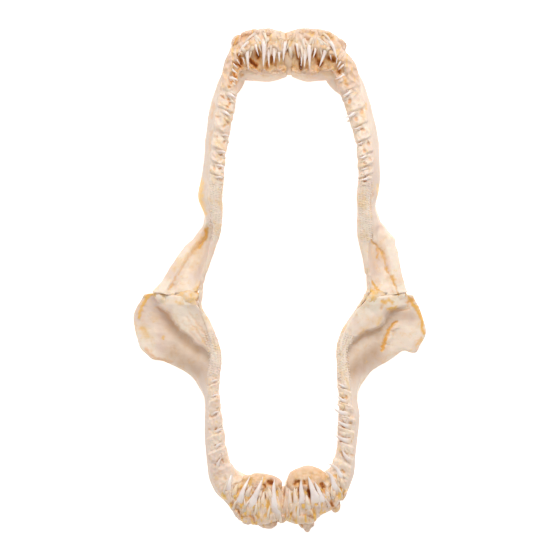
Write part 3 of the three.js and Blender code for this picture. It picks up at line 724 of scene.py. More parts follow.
# The strands that the gum has dried in at the front: (how far apart they are, how long, how high).
LOWER_STRANDS, UPPER_STRANDS, ARM_STRANDS_HIGH = (3.0, 9.0, 3.2), (3.8, 5.5, 3.2), 1.4
LOWER_FRONT_FROM, LOWER_FRONT_TO = 152, 158
LOWER_GOLD, UPPER_GOLD, RECESS_GOLD = 0.9, 0.5, 0.45    # how golden the strands and the trough have dried
GUM_SWELLS, GUM_RIPPLES, GUM_HILLS = (7.0, 0.7, 2.0), (2.4, 0.34, 6.0), (6.0, 1.0, 4.0)
GUM_BUMPS = {"lower": (2.0, 0.35, 8.0), "upper": (2.0, 0.22, 8.0)}
FRONT_SHADE = {"lower": 0.135, "upper": 0.27}    # how much browner the front is than the arms
BEADS_BEGIN, BEADS_FULL = 76, 62   # how far along the gum turns from scales to smooth rows of beads
BEADS_CALM = 0.75                 # how much of the gum's roughness is gone there
# The crowns of each arm, from the front to the corner of the mouth: where each leaves the gum and where it ends.
UPPER_ARM = {
    "right": [((-36.9, 151.6), (-30.3, 149.3)), ((-37.9, 139.5), (-31.2, 134.9)), ((-41.4, 126), (-35.7, 121.6)),
              ((-41.4, 108.5), (-36.5, 106.4)),
              ((-44.8, 96.1), (-38.2, 94.1)), ((-46, 85.7), (-39.9, 83.2)), ((-46.4, 76.6), (-41.9, 75.8))],
    "left": [((50.5, 154.4), (42.6, 150.6)), ((54, 141), (48.3, 137.9)), ((57.2, 125), (50.2, 121.4)),
             ((61.6, 114.4), (56.6, 112.9)),
             ((63.1, 103), (59.3, 101.5)), ((65.4, 92.3), (60.8, 91.2)), ((66.5, 83.5), (61.9, 82.5)),
             ((68, 76.2), (61.9, 74.6))],
}
LOWER_ARM = {
    "right": [((-46, -141.4), (-42.9, -134.9)), ((-47, -127.3), (-41.7, -123.7)), ((-47, -115.7), (-40.7, -113.2)),
              ((-49.4, -102.2), (-44.5, -100.3)),
              ((-49.9, -88.9), (-44.7, -87.8)), ((-49.8, -77.9), (-45.6, -76.8))],
    "left": [((53.4, -137.2), (47.9, -129.3)), ((52.1, -122.7), (42.3, -117.9)), ((52.6, -111.7), (44.2, -107)),
             ((51.3, -102.4), (41.4, -97.9)),
             ((50.5, -93.1), (43.9, -88.1)), ((50.2, -81.7), (45.4, -79))],
}
UPPER_PITS = {
    "right": [
        ([(-15.8, 171), (-15.7, 167.6)], 2.3, 4.6, 1.0, 0.0), ([(-21.7, 166.1), (-17.1, 161.5)], 1.6, 3.4, 0.95, 0.0),
        ([(-5.3, 169.1), (-4.6, 163)], 1.5, 3.2, 0.85, 0.0), ([(4.9, 175.2), (4, 166.1)], 0.9, 2.4, 0.75, 0.0),
        ([(-30, 168.3), (-27.7, 163.8)], 1.6, 2.8, 0.85, 0.1), ([(-33.1, 163.4), (-30, 160.7)], 1.3, 2.2, 0.8, 0.1),
        ([(-7.8, 164.5), (-9.1, 159.6)], 1.0, 2.2, 0.7, 0.0), ([(-1.9, 166.1), (-2.7, 161.5)], 0.9, 2.0, 0.6, 0.0),
        ([(-15.6, 180.9), (-12.5, 181.3)], 2.2, 1.2, 0.25, 0.1),
        ([(-27, 182.4), (-23.2, 183.5)], 2.0, 1.0, 0.35, 0.2),
        ([(-25.5, 175.9), (-22.4, 177.5)], 1.4, 1.0, 0.3, 0.1), ([(-8, 179.7), (-4.9, 176.7)], 1.2, 0.8, 0.18, 0.3),
        ([(-36.3, 150.1), (-35.3, 147.4)], 1.2, 1.6, 0.65, 0.1),
        ([(-37.3, 145.5), (-36.9, 144.8)], 1.1, 1.4, 0.6, 0.1),
        ([(-31.5, 148.6), (-32.3, 147.1)], 0.9, 1.0, 0.5, 0.3), ([(-33.8, 155), (-33.4, 152.8)], 1.2, 1.6, 0.8, 0.1),
        ([(-42.9, 137.5), (-41.8, 136.7)], 1.0, 1.2, 0.45, 0.1),
        ([(-38.2, 135.4), (-37.6, 134.6)], 1.0, 1.4, 0.6, 0.0),
        ([(-36.9, 132.6), (-36.7, 131.6)], 1.1, 1.6, 0.65, 0.1),
        ([(-38.8, 130.1), (-38.7, 129.1)], 1.1, 1.4, 0.45, 0.0),
        ([(-46.3, 122), (-45.1, 121.2)], 1.0, 1.2, 0.4, 0.1), ([(-40.7, 120.9), (-39.5, 120.3)], 0.9, 1.2, 0.4, 0.0),
        ([(-38.5, 118.2), (-38.4, 116.3)], 1.2, 1.4, 0.42, 0.1), ([(-41, 115.5), (-41, 114.4)], 0.9, 1.0, 0.4, 0.1),
        ([(-46.1, 107.2), (-45.5, 106.3)], 1.0, 1.2, 0.4, 0.1),
        ([(-40.7, 103.7), (-40.5, 102.2)], 1.1, 1.2, 0.4, 0.1),
        ([(-44.5, 94.2), (-43.7, 93.4)], 1.0, 1.2, 0.35, 0.1), ([(-44.5, 83.2), (-43.7, 82.5)], 1.0, 1.2, 0.35, 0.1),
        ([(-48.6, 84), (-48.3, 82.9)], 0.9, 1.0, 0.3, 0.1), ([(-44.5, 75.2), (-43.7, 74.4)], 0.9, 1.0, 0.35, 0.1),
    ],
    "left": [
        ([(17.1, 166.1), (17.1, 160)], 1.3, 3.2, 0.95, 0.0), ([(12.5, 174.4), (15.3, 166.1)], 0.9, 2.4, 0.65, 0.2),
        ([(26.2, 172.1), (27.4, 169.1)], 1.9, 4.0, 0.9, 0.0), ([(29.3, 166.1), (32.7, 163)], 1.9, 3.6, 0.9, 0.0),
        ([(30.4, 163), (31.2, 161.5)], 1.3, 2.4, 0.9, 0.0), ([(38.4, 167.2), (42.2, 165.7)], 1.8, 3.0, 0.8, 0.15),
        ([(21.7, 170.6), (21.2, 166.1)], 0.9, 2.0, 0.55, 0.0), ([(21.5, 161.5), (21.4, 159.6)], 0.9, 1.4, 0.6, 0.1),
        ([(19.8, 180.5), (22.4, 180.2)], 1.8, 1.0, 0.25, 0.1), ([(37.2, 182.8), (40.7, 181.3)], 1.8, 1.0, 0.3, 0.3),
        ([(32.3, 175.9), (34.6, 176.7)], 1.6, 1.0, 0.25, 0.1), ([(24.7, 185.4), (27, 185.1)], 1.6, 0.8, 0.2, 0.1),
        ([(45.7, 157.7), (46.3, 155.4)], 1.2, 1.8, 0.85, 0.0), ([(49.2, 149.3), (49.8, 148.6)], 1.0, 1.2, 0.5, 0.1),
        ([(51.1, 147.1), (51.5, 146)], 1.0, 1.2, 0.5, 0.0), ([(53.6, 135.3), (53.9, 133.4)], 1.1, 1.4, 0.5, 0.1),
        ([(62.5, 126.5), (63, 125.3)], 1.1, 1.2, 0.4, 0.1), ([(57.8, 121), (58.4, 120.2)], 1.0, 1.2, 0.45, 0.0),
        ([(63.3, 112.6), (63.8, 111.8)], 1.0, 1.2, 0.4, 0.1), ([(67.4, 102.2), (67.9, 101.3)], 1.0, 1.2, 0.35, 0.1),
        ([(64.5, 96.9), (65, 95.8)], 1.0, 1.2, 0.35, 0.1), ([(68.6, 90.8), (69.1, 89.9)], 0.9, 1.0, 0.3, 0.1),
        ([(64.8, 87.3), (65.3, 86.6)], 0.9, 1.0, 0.35, 0.1), ([(63.6, 79.1), (64.1, 78.4)], 0.8, 1.0, 0.35, 0.1),
        ([(64.8, 74.7), (65.3, 73.9)], 0.8, 1.0, 0.3, 0.1),
    ],
}
LOWER_PITS = {
    "right": [
        ([(-30.8, -156.2), (-20.1, -150.9), (-8, -149.3)], 5.5, 0.3, 0.0, 0.34),
        ([(-26.2, -152.4), (-28.9, -161.5)], 0.9, 1.0, 0.2, 0.35),
        ([(-17.1, -149.3), (-19.8, -157.7)], 0.8, 0.8, 0.15, 0.4),
        ([(-12.5, -148.6), (-8.7, -152.4)], 0.8, 0.7, 0.12, 0.4),
        ([(-33.1, -155.4), (-22.4, -152), (-12.5, -152.4)], 0.8, 0.7, 0.12, 0.35),
        ([(-29.3, -179), (-21.7, -182.8)], 2.5, 0, 0.0, 0.3),
        ([(-7.7, -154.1), (-4.5, -154.4)], 1.7, 3.4, 1.0, 0.0),
        ([(-5.2, -154.7), (-4.5, -158.1)], 1.0, 2.4, 0.75, 0.2),
        ([(-10.6, -156.2), (-10.1, -157.5)], 1.4, 3.0, 1.0, 0.0),
        ([(-11, -160), (-11.8, -166.1)], 1.1, 2.4, 0.75, 0.1),
        ([(1.9, -159.2), (3.9, -165.3)], 1.2, 1.0, 0.1, 0.65), ([(0.1, -156.2), (1.5, -159.2)], 0.8, 1.0, 0.3, 0.4),
        ([(-18.4, -160), (-19.9, -162.3)], 1.0, 1.0, 0.2, 0.5),
        ([(-20.9, -165), (-20.1, -166.1)], 1.0, 1.0, 0.25, 0.6),
        ([(-14.1, -166.1), (-14.2, -170.6)], 1.3, 1.2, 0.1, 0.8),
        ([(-7.5, -167.6), (-8.7, -171.4)], 1.2, 1.2, 0.1, 0.8),
        ([(-4.2, -174.8), (-9.9, -179)], 1.6, 0.8, 0.1, 0.8),
        ([(-18.2, -173.7), (-15.6, -180.5)], 1.2, 1.2, 0.15, 0.8),
        ([(-30.8, -160), (-29.6, -165.3)], 1.3, 1.0, 0.12, 0.75),
        ([(-24.2, -164.5), (-26.5, -170.6)], 1.4, 0.8, 0.05, 0.7),
        ([(-32.3, -166.1), (-30, -176.7)], 1.0, 1.2, 0.25, 0.5),
        ([(-40.3, -150.1), (-39.9, -151.2)], 1.0, 1.2, 0.3, 0.3),
        ([(-54.7, -104.5), (-54.3, -105.3)], 0.9, 1.0, 0.35, 0.2),
        ([(-50.5, -103.7), (-50.1, -104.5)], 0.9, 1.0, 0.3, 0.1),
        ([(-52.8, -113.6), (-52.4, -114.4)], 0.9, 1.0, 0.35, 0.2),
        ([(-47.5, -113.3), (-47, -114.1)], 1.0, 1.2, 0.35, 0.1),
        ([(-48.3, -125.8), (-47.8, -126.5)], 1.0, 1.2, 0.35, 0.1),
        ([(-42.6, -137.5), (-42.2, -138.4)], 1.0, 1.2, 0.35, 0.1),
        ([(-48.3, -140.1), (-47.8, -140.8)], 0.9, 1.2, 0.3, 0.2),
        ([(-46, -89.8), (-45.5, -90.5)], 0.8, 1.0, 0.35, 0.0),
        ([(-35.3, -169.1), (-28.5, -179)], 1.0, 1.2, 0.35, 0.2),
        ([(-28.5, -179.4), (-20.1, -179.7), (-17.1, -185.1)], 0.9, 1.4, 0.55, 0.2),
    ],
    "left": [
        ([(11, -151.6), (20.9, -147.1), (33.1, -148.6)], 6.0, 0.3, 0.0, 0.36),
        ([(14.1, -148.6), (12.2, -154.7)], 0.8, 0.8, 0.15, 0.4),
        ([(23.9, -145.5), (26.2, -152.4)], 0.8, 0.8, 0.15, 0.4),
        ([(30, -145.5), (35.3, -153.1)], 0.8, 0.9, 0.15, 0.4),
        ([(14.8, -149.3), (23.2, -147.5), (31.5, -149.3)], 0.8, 0.7, 0.12, 0.4),
        ([(36.1, -150.1), (39.9, -159.2)], 2.2, 0.3, 0.05, 0.5),
        ([(12.1, -155.4), (13.6, -153.6), (16, -153.4)], 1.2, 2.8, 0.9, 0.2),
        ([(15.4, -154.7), (15.5, -165.8)], 0.8, 2.4, 0.75, 0.1),
        ([(19.1, -153.4), (19.2, -154.4)], 1.2, 2.4, 0.85, 0.1),
        ([(20.9, -153.1), (22.7, -158.5)], 0.9, 1.6, 0.5, 0.4),
        ([(23.2, -160), (23.8, -164.2)], 1.7, 4.0, 1.0, 0.0), ([(32.7, -155.4), (33.5, -157.4)], 1.6, 3.6, 1.0, 0.0),
        ([(33.5, -158.8), (36.9, -162.3), (40.7, -166.1)], 0.9, 1.6, 0.6, 0.5),
        ([(29.3, -153.9), (30, -155.4)], 1.0, 1.0, 0.1, 0.6),
        ([(23.9, -166.1), (25.9, -171.4), (26.7, -176.7)], 0.9, 1.4, 0.45, 0.5),
        ([(30, -164.5), (28.5, -169.9)], 1.4, 1.0, 0.15, 0.85),
        ([(21.2, -169.9), (23.2, -172.1)], 1.0, 0.8, 0.05, 0.7),
        ([(11.5, -159.2), (10.7, -168.3)], 0.9, 1.2, 0.15, 0.6),
        ([(38.8, -155.4), (39.4, -157.2)], 1.3, 1.2, 0.2, 0.75), ([(46.4, -158), (44.6, -163)], 1.3, 1.2, 0.2, 0.75),
        ([(40.2, -169.7), (41.3, -171.8)], 1.8, 3.0, 0.75, 0.0), ([(10, -176.7), (11.8, -182.8)], 1.1, 1.4, 0.4, 0.3),
        ([(16.3, -178.7), (20.9, -177.9), (25.5, -180.5)], 1.0, 1.4, 0.5, 0.2),
        ([(7.7, -175.9), (7.5, -180.5)], 0.8, 1.0, 0.3, 0.3),
        ([(48, -166.8), (46, -145.5)], 0.9, 0.6, 0.05, 0.5), ([(48.4, -145.1), (49, -146.1)], 1.1, 1.4, 0.5, 0.4),
        ([(42.2, -148.6), (45.2, -150.1)], 1.0, 1.0, 0.15, 0.6), ([(48, -132.2), (49.3, -133.1)], 1.3, 1.2, 0.4, 0.3),
        ([(55.4, -133.1), (55.9, -134)], 1.1, 1.0, 0.35, 0.3), ([(47.7, -122.1), (48.3, -122.9)], 1.1, 1.2, 0.4, 0.1),
        ([(53.6, -120.9), (54, -121.8)], 1.2, 1.2, 0.4, 0.2), ([(53.6, -108.8), (54, -109.7)], 1.0, 1.0, 0.35, 0.2),
        ([(49.2, -111.3), (49.8, -112.1)], 0.9, 1.0, 0.35, 0.1),
        ([(47.3, -100.7), (47.8, -101.5)], 0.9, 1.0, 0.35, 0.1),
        ([(51.1, -89.6), (51.6, -90.4)], 0.9, 1.0, 0.35, 0.1), ([(47.7, -91), (48.1, -91.9)], 1.0, 1.2, 0.55, 0.0),
    ],
}
# Lobes of gum and root lumps on the front: (middle as x, y, z, half sizes, turn in degrees).
LOWER_LUMPS = {
    "right": [((-14.8, -156.9, 34.5), (17.5, 9.5, 8), 2),
              ((-22.4, -181.6, 30), (6.5, 4.6, 5.5), 28), ((-9.5, -184.7, 29), (8.4, 5, 6), -12),
              ((-29.3, -173.7, 29), (5.5, 4, 6), -48), ((1.9, -179.7, 31), (4.5, 5, 6), 0),
              ((-15.6, -182, 31), (5, 5, 6), 0), ((-37.6, -166.1, 31), (5.5, 4, 6), -60)],
    "left": [((22.4, -155.4, 34.5), (16.5, 13.6, 8.5), -4), ((20.9, -183.5, 30), (6.4, 6.6, 6), 8),
             ((21.7, -188.9, 28.5), (2.6, 3.6, 4), 8), ((9.9, -180.1, 31), (4.6, 4.4, 6), 0),
             ((28.1, -176.7, 31), (4.6, 4.4, 6), 35), ((43.3, -172.1, 30), (3.4, 5, 5.5), -10),
             ((34.6, -170.6, 32), (6, 5, 6.5), 35), ((48.3, -162.3, 31), (4, 6, 6), -15)],
}
UPPER_LUMPS = {
    "right": [((-20.9, 185.1, 33), (7.5, 3.6, 5), 12), ((-8, 185.8, 33), (5.5, 3.4, 5), -8),
              ((-31.5, 179.7, 32), (5.5, 4, 5.5), 50), ((0, 182, 33), (3.4, 4.6, 5), 20)],
    "left": [((20.9, 185.8, 33), (7.5, 3.6, 5), -4), ((34.6, 184.7, 33), (7.5, 3.6, 5), -16),
             ((46.7, 176.7, 31), (4.5, 6, 5.5), 28), ((11.4, 182, 33), (3.4, 4.6, 5), -20)],
}
# The stain colour is also the colour of the painted shade in its hollows.
gum_finish = dried_tissue(
    "dried_gum", pale=colour(249, 228, 208), shade=colour(236, 212, 197), warm=colour(244, 206, 150),
    stain_and_shade=colour(216, 148, 80), roughness=0.36, fibre=(300, 300, 260), flecks=0.6)


def ridge_at(rows, share, lower):
    flat = [through([at + size for at, size in rows], min(1, max(0, share + step))) for step in (-0.01, 0, 0.01)]
    forward = (Vector(flat[2][0:2]) - Vector(flat[0][0:2])).normalized()
    outward = Vector((-forward.y, forward.x, 0)) * (-1 if lower else 1)
    return Vector(flat[1][0:3]), outward, flat[1][3], flat[1][4]


def gum(jaw, side, rows, crowns, pits, lumps):
    lower = jaw == "lower"
    front = -1 if lower else 1
    strand_width, strand_length, strand_height = LOWER_STRANDS if lower else UPPER_STRANDS
    sections, borders = {}, [front * y + SCALE_SLANT * SCALE_BORDER for (x, y), _ in crowns]

    def scale(key):
        """How far a scale of gum stands up: it rises towards the corner of the mouth, up to its file's border."""
        ahead = borders[0] + FIRST_SCALE
        if key > ahead or key < borders[-1]:
            return 0.0
        for border in borders:
            if key >= border:
                part = (ahead - key) / (ahead - border)
                return SCALE_RISE * (part ** 1.3 * (1 - smooth(0.84, 1.0, part)) - 0.3)
            ahead = border
        return 0.0

    def point(share, turn):
        close = rounded(share, GUM_FRONT_ROUNDING, GUM_REAR_ROUNDING)
        along = mixed(0.001, 1.0, share)
        if along not in sections:
            sections[along] = ridge_at(rows, along, lower)
        middle, outward, half_width, half_height = sections[along]
        across, rise = math.cos(turn), math.sin(turn)
        across, rise = (math.copysign(abs(part) ** GUM_FLATNESS, part) for part in (across, rise))
        deep = rise * (GUM_ROOT if rise < 0 else 1)
        spot = middle + outward * half_width * across * close + Vector((0, 0, half_height * deep * close))
        place = pulled(jaw, side, laid(side, spot))
        sunk, stain_and_shade, gold = marked(place.x, place.y, pits)
        calm = 1 - BEADS_CALM * smooth(BEADS_BEGIN, BEADS_FULL, front * spot.y)
        top = smooth(0.0, 0.4, rise) * close
        key = front * spot.y - SCALE_SLANT * across * half_width
        arm = smooth(ARM_FROM, ARM_TO, front * spot.y)
        step = scale(key) * arm
        inwards = rough(place, 4.0, 0.14, 5.0) - across
        trough = 0.0 if lower else smooth(*RECESS_BEGINS, spot.y) * smooth(*RECESS_FROM, inwards)
        trough *= 1 - RECESS_EASES * smooth(*RECESS_TO, inwards)
        place.z += (step - sunk - RECESS * trough) * top
        outer_push = Vector((spot.x - middle.x, spot.y - middle.y, 0)).normalized()
        if side == "right":
            outer_push.x *= -1
        swell = step * 0.35 + (rough(place, *GUM_SWELLS) + rough(place, *GUM_RIPPLES)) * calm
        place += outer_push * swell * close * abs(across)
        strand = Vector((place.x / strand_width, place.y / strand_length, 0))
        ridge = 0.22 - abs(noise.noise(strand + Vector((0.3 * noise.noise(place / 6), 0, 0))))
        below = smooth(LOWER_FRONT_FROM, LOWER_FRONT_TO, -place.y) if lower else 1.0
        place.z += (rough(place, *GUM_HILLS) + rough(place, *GUM_BUMPS[jaw])) * calm * top
        place.z += ridge * (strand_height * (1 - arm) * below + ARM_STRANDS_HIGH * arm * calm) * top
        streaks = smooth(-0.05, 0.4, noise.noise(Vector((place.x / 2.4, place.y / 7.0, 5.0))))
        gold = max(gold, (1 - arm) * (LOWER_GOLD if lower else UPPER_GOLD) * streaks * below, RECESS_GOLD * trough)
        shade = FRONT_SHADE[jaw] * (1 - arm)
        return place, stain_and_shade * top, gold * top, shade, 0.0

    mesh = fresh()
    skin(mesh, GUM_STEPS, point)
    for spot, sizes, turn in lumps:
        lump(mesh, spot, sizes, turn, pits, LUMP_SHADE)
    return keep(f"{jaw}_gum_{side}", mesh, gum_finish, "teeth_and_gum", f"{jaw}_teeth_{side}")


gums = []
for side in ("left", "right"):
    gums.append(gum("upper", side, UPPER_GUM, UPPER_ARM[side], UPPER_PITS[side], UPPER_LUMPS[side]))
    gums.append(gum("lower", side, LOWER_GUM, LOWER_ARM[side], LOWER_PITS[side], LOWER_LUMPS[side]))

# ---- The teeth: bladed crowns of enameloid on two-pronged roots, in files that lean inwards over the groove. The
# ---- long fangs stand at the front, the arms' crowns shrink towards the corner of the mouth, and the last rows are
# ---- small crushing beads. A line runs from the root to the tip as (x, y), then come the width and the rise.
UPPER_FANGS = {
    "right": [
        ([(6.5, 182.8), (4.6, 175.9), (3.4, 163.4)], 3.4, 3.0),
        ([(-4.2, 178.2), (-3.4, 170.6), (-3.4, 161.9)], 2.6, 2.4),
        ([(-14.1, 183.2), (-11, 175.9), (-11.6, 159.2)], 4.2, 5.0),
        ([(-8, 176.7), (-7.7, 170.6), (-7.1, 159.2)], 2.4, 3.0),
        ([(-22.4, 176.7), (-23.6, 170.6), (-22.7, 156.9)], 3.4, 5.0),
        ([(-17.1, 182.3), (-25.5, 176.7), (-30.8, 167.6)], 3.0, 3.6),
        ([(-20.1, 185.5), (-16.3, 181.6), (-12.2, 178.2)], 2.6, 1.0),
        ([(-8, 183.5), (-8.7, 180.5), (-11, 176.7)], 2.6, 1.0),
        ([(-17.1, 178.2), (-20.1, 173.7), (-23.2, 170.6)], 2.2, 0.8),
        ([(-28.5, 174.4), (-26.2, 172.4), (-23.6, 169.1)], 2.0, 0.8),
        ([(-17.1, 178.2), (-17.1, 175.2), (-14.8, 167.6)], 2.0, 1.2),
        ([(-33.8, 167.6), (-31.5, 165.3), (-28.9, 161.5)], 1.5, 1.4),
        ([(-36.1, 163.8), (-33.5, 161.5), (-30.5, 158.5)], 1.5, 1.4),
        ([(-37.2, 160), (-34.6, 157.4), (-30.8, 154.7)], 1.8, 1.6),
        ([(-28.5, 168.3), (-26.7, 166.1), (-25.5, 161.5)], 1.3, 1.2),
        ([(0.4, 173.7), (0.4, 169.1), (0.7, 163)], 2.0, 1.2),
    ],
    "left": [
        ([(17.1, 183.5), (19.8, 179.7), (22.8, 175.9)], 2.4, 1.0),
        ([(27, 185.1), (25, 180.5), (23.2, 175.9)], 2.4, 1.0),
        ([(22.1, 180.5), (23, 173.7), (23.6, 157.2)], 4.0, 5.0),
        ([(19.4, 175.2), (20, 167.6), (19.4, 158.5)], 2.4, 3.0),
        ([(16.3, 178.2), (17.6, 170.6), (17.1, 159.7)], 2.4, 2.6),
        ([(30, 181.3), (32.6, 177.5), (34.9, 172.1)], 2.2, 0.8),
        ([(38.8, 175.2), (36.9, 173.2), (35.3, 170.6)], 2.0, 0.8),
        ([(34.6, 176.7), (35.1, 171.4), (30.6, 159.4)], 3.4, 5.0),
        ([(30.5, 183.8), (39.9, 177.5), (44.3, 165.3)], 3.2, 3.6),
        ([(13.3, 179.7), (14.1, 175.2), (15.1, 166.1)], 2.4, 1.6),
        ([(27.7, 176.7), (27.7, 172.1), (25.9, 166.1)], 2.0, 1.4),
        ([(38.4, 171.4), (39.1, 169.1), (39.9, 164.5)], 1.4, 1.2),
        ([(48.3, 166.1), (46.3, 163), (44.3, 159.2)], 1.6, 1.6),
        ([(51, 162.6), (48.3, 160.7), (44.8, 157.2)], 1.8, 1.8),
        ([(46.7, 169.1), (44.5, 166.1), (43.4, 161.5)], 1.4, 1.2),
        ([(8.7, 179.7), (9.2, 172.1), (9.5, 164.5)], 2.2, 0.8),
    ],
}
LOWER_FANGS = {
    "right": [
        ([(-3.4, -182.8), (-3.4, -172.1), (-3.9, -161.5), (-3, -151.2)], 5.4, 2.0),
        ([(-22.4, -176.7), (-19.1, -167.6), (-15.1, -158.8), (-11.5, -149)], 5.0, 2.0),
        ([(-29.6, -174.4), (-28.5, -166.8), (-26.7, -160), (-21.4, -149)], 4.8, 2.0),
        ([(-6.2, -167.6), (-6.6, -162.3), (-8, -156.2)], 2.4, 0.8),
        ([(3.7, -172.9), (2.4, -165.3), (-0.4, -156.9)], 2.6, 1.0),
        ([(-38.1, -163.8), (-37.2, -153.9), (-33.7, -143.3)], 3.6, 2.0),
        ([(-11.8, -172.9), (-12.1, -166.8), (-10.7, -160)], 2.6, 0.8),
        ([(-24.7, -166.1), (-22.9, -160.7), (-19.7, -156.2)], 2.4, 0.8),
        ([(0.4, -179), (-0.4, -172.1), (-1.1, -163.8)], 2.6, 0.6),
        ([(-34.6, -168.3), (-33.1, -160.7), (-30.8, -154.7)], 2.6, 0.6),
        ([(-15.6, -175.2), (-14.8, -170.6), (-14.5, -163.8)], 2.0, 0.5),
    ],
    "left": [
        ([(18.9, -177.5), (18.3, -167.6), (17.1, -159.2), (16.9, -151.2)], 4.6, 2.0),
        ([(13.8, -175.2), (13, -166.1), (11.8, -157.4)], 2.8, 1.0),
        ([(30, -172.1), (27, -163), (24.4, -155.4), (22.3, -148.9)], 4.6, 2.0),
        ([(34.9, -172.9), (32.6, -166.1), (29.6, -158.5), (27, -153.1)], 3.8, 1.2),
        ([(44, -164.5), (42.2, -156.9), (39.9, -149.6), (35.3, -144.5)], 3.8, 2.4),
        ([(48.3, -152.4), (46.3, -148.3), (43.4, -142.8), (36.1, -138.9)], 3.2, 3.0),
        ([(22.4, -174.4), (21.7, -168.3), (20.4, -161.5)], 2.6, 0.6),
        ([(9.2, -174.4), (8.7, -166.8), (8.3, -158.5)], 2.2, 0.8),
        ([(37.6, -167.6), (36.9, -162.3), (35, -157.7)], 2.4, 0.6),
        ([(49, -160.7), (48, -154.7), (46.7, -150.1)], 2.6, 0.8),
    ],
}
BEAD_ROWS = {  # (line of x, y from front to back, beads in it)
    "upper": {"right": ([(-43.7, 71.8), (-43.4, 55.9), (-44.2, 40.7), (-46.7, 27)], 26),
              "left": ([(63, 71.8), (62.5, 55.9), (63, 40.7), (64.2, 27)], 26)},
    "lower": {"right": ([(-45.7, -72.6), (-44.6, -61.9), (-46.3, -49.8), (-50.1, -39.1)], 18),
              "left": ([(46.4, -77.1), (45.5, -63.5), (46.3, -50.5), (49.8, -40.7)], 20)},
}
# A crown's root fades into its blade between these shares of its length; a fold or a bead has none.
BLADE_FADE, FANG_FADE, NO_ROOT = (0.15, 0.55), (0.0, 0.3), (-2, -1)
FOLD_BELOW = 1.1                 # a line that rises less than this is a fold of gum and not a crown
CROWN_STEPS, FANG_STEPS, SPARE_STEPS, CUSP_STEPS, BEAD_STEPS = (18, 12), (24, 14), (10, 8), (8, 8), (4, 6)
ARM_CROWN_WIDTH, ARM_CROWN_LEAST = 0.36, 2.0    # a share of its length, and millimetres
CUSPS = ((1.5, 0.55), (-1.4, 0.45))    # how far to each side of its crown, and how long against it
CUSP_WIDTH, PRONG_WIDTH = 1.0, 1.7
PRONGS_APART = (0.95, 0.4)       # how far off a crown's middle the two legs start and end, against its width
BLADE_THICKNESS = 0.72           # how thick the blade is, against its width
ROOT_ROUNDING, TIP_ROUNDING = 0.08, 0.03
FOOT_OTHERWISE, ROOT_OTHERWISE = 38.0, 36.0    # how high a tooth stands where no tissue lies under it
SPARE_BEHIND = 3.4               # how far behind its crown the spare tooth lies
BEAD_FILES, BEAD_SIZE, BEAD_SPACING, BEAD_SCATTER = 5, 1.0, 2.0, (0.25, 0.3)
BEAD_SHIFT = 0.35                # how far each file of beads lies behind the one inside it
BARE_BELOW = 20                  # nothing stands where the jaw is lower than this
ENAMEL, ENAMEL_SHADE, ROOT = colour(250, 237, 230), colour(236, 216, 206), colour(240, 216, 192)
# The brown of the painted shade where a crown is shut in.
ENAMEL_HOLLOW_SHADE = colour(204, 152, 98)

tooth = Finish("tooth_enameloid")
where = tooth.place()
cloud = tooth.grain(where, 120.0, detail=3.0)
streak = tooth.grain(tooth.stretched(where, (900, 160, 400)), 1.0, detail=2.0)
tone = tooth.tinted(cloud.between(0.42, 0.7), ENAMEL, ENAMEL_SHADE)
tone = tooth.tinted((tooth.mask("gold") * (0.5 + cloud)).clamped(), tone, ROOT)
# Painted shade: where a crown is shut in, its colour goes brown.
tone = tooth.tinted((tooth.mask("shade_and_tint") * 0.85).clamped(), tone, ENAMEL_HOLLOW_SHADE)
tooth_finish = tooth.finish(
    Base_Color=tone, Roughness=0.2 + 0.3 * streak, Normal=tooth.relief(streak * 0.4 + cloud * 0.6, 0.18, 0.0008),
    Subsurface_Weight=0.15, Subsurface_Radius=(1.0, 0.7, 0.5), Subsurface_Scale=0.0012, Coat_Weight=0.25,
    Coat_Roughness=0.18)


def tree_of(pieces):
    """Something that rays can be cast at, made of the pieces' faces."""
    corners, faces = [], []
    for piece in pieces:
        start = len(corners)
        corners += [tuple(vert.co) for vert in piece.data.vertices]
        faces += [[corner + start for corner in face.vertices] for face in piece.data.polygons]
    return BVHTree.FromPolygons(corners, faces)


tissue = tree_of(gums + plates)


def top_of(x, y, otherwise):
    """How high the gum or cartilage stands at a place."""
    hit = tissue.ray_cast(Vector((x, y, 100)) * MM, Vector((0, 0, -1)))[0]
    return hit.z / MM if hit else otherwise


def crown(mesh, line, width, lifts, fade=BLADE_FADE, sharp=0.05, root=1.8, steps=CROWN_STEPS, flat=0.3):
    """A tooth along a line from its root to its tip, flattened, with an edge on each side. Each of its lifts is
    (a height, or None for what the tooth lies on there, and how far above it)."""
    heights = []
    for (x, y), (base, lift) in zip(line, lifts):
        if base is None:
            base = top_of(x, y, heights[-1] if heights else ROOT_OTHERWISE)
        heights.append(base + lift)
    rows = [(x, y, z) for (x, y), z in zip(line, heights)]

    def point(share, turn):
        here, sideways, upwards = line_at(rows, share)
        taper = mixed(root, 1.05, smooth(0, 0.5, share)) * (1 - share ** 2.2) ** 0.9 + sharp * (1 - share ** 6)
        thick = mixed(flat, BLADE_THICKNESS, smooth(0.05, 0.55, share))
        reach = width * 0.5 * taper * rounded(share, ROOT_ROUNDING, TIP_ROUNDING)
        edge = math.cos(turn)
        place = here + sideways * reach * edge + upwards * reach * thick * math.sin(turn)
        return place, 0.0, 1 - smooth(*fade, share), 0.0, 0.0

    skin(mesh, steps, point)


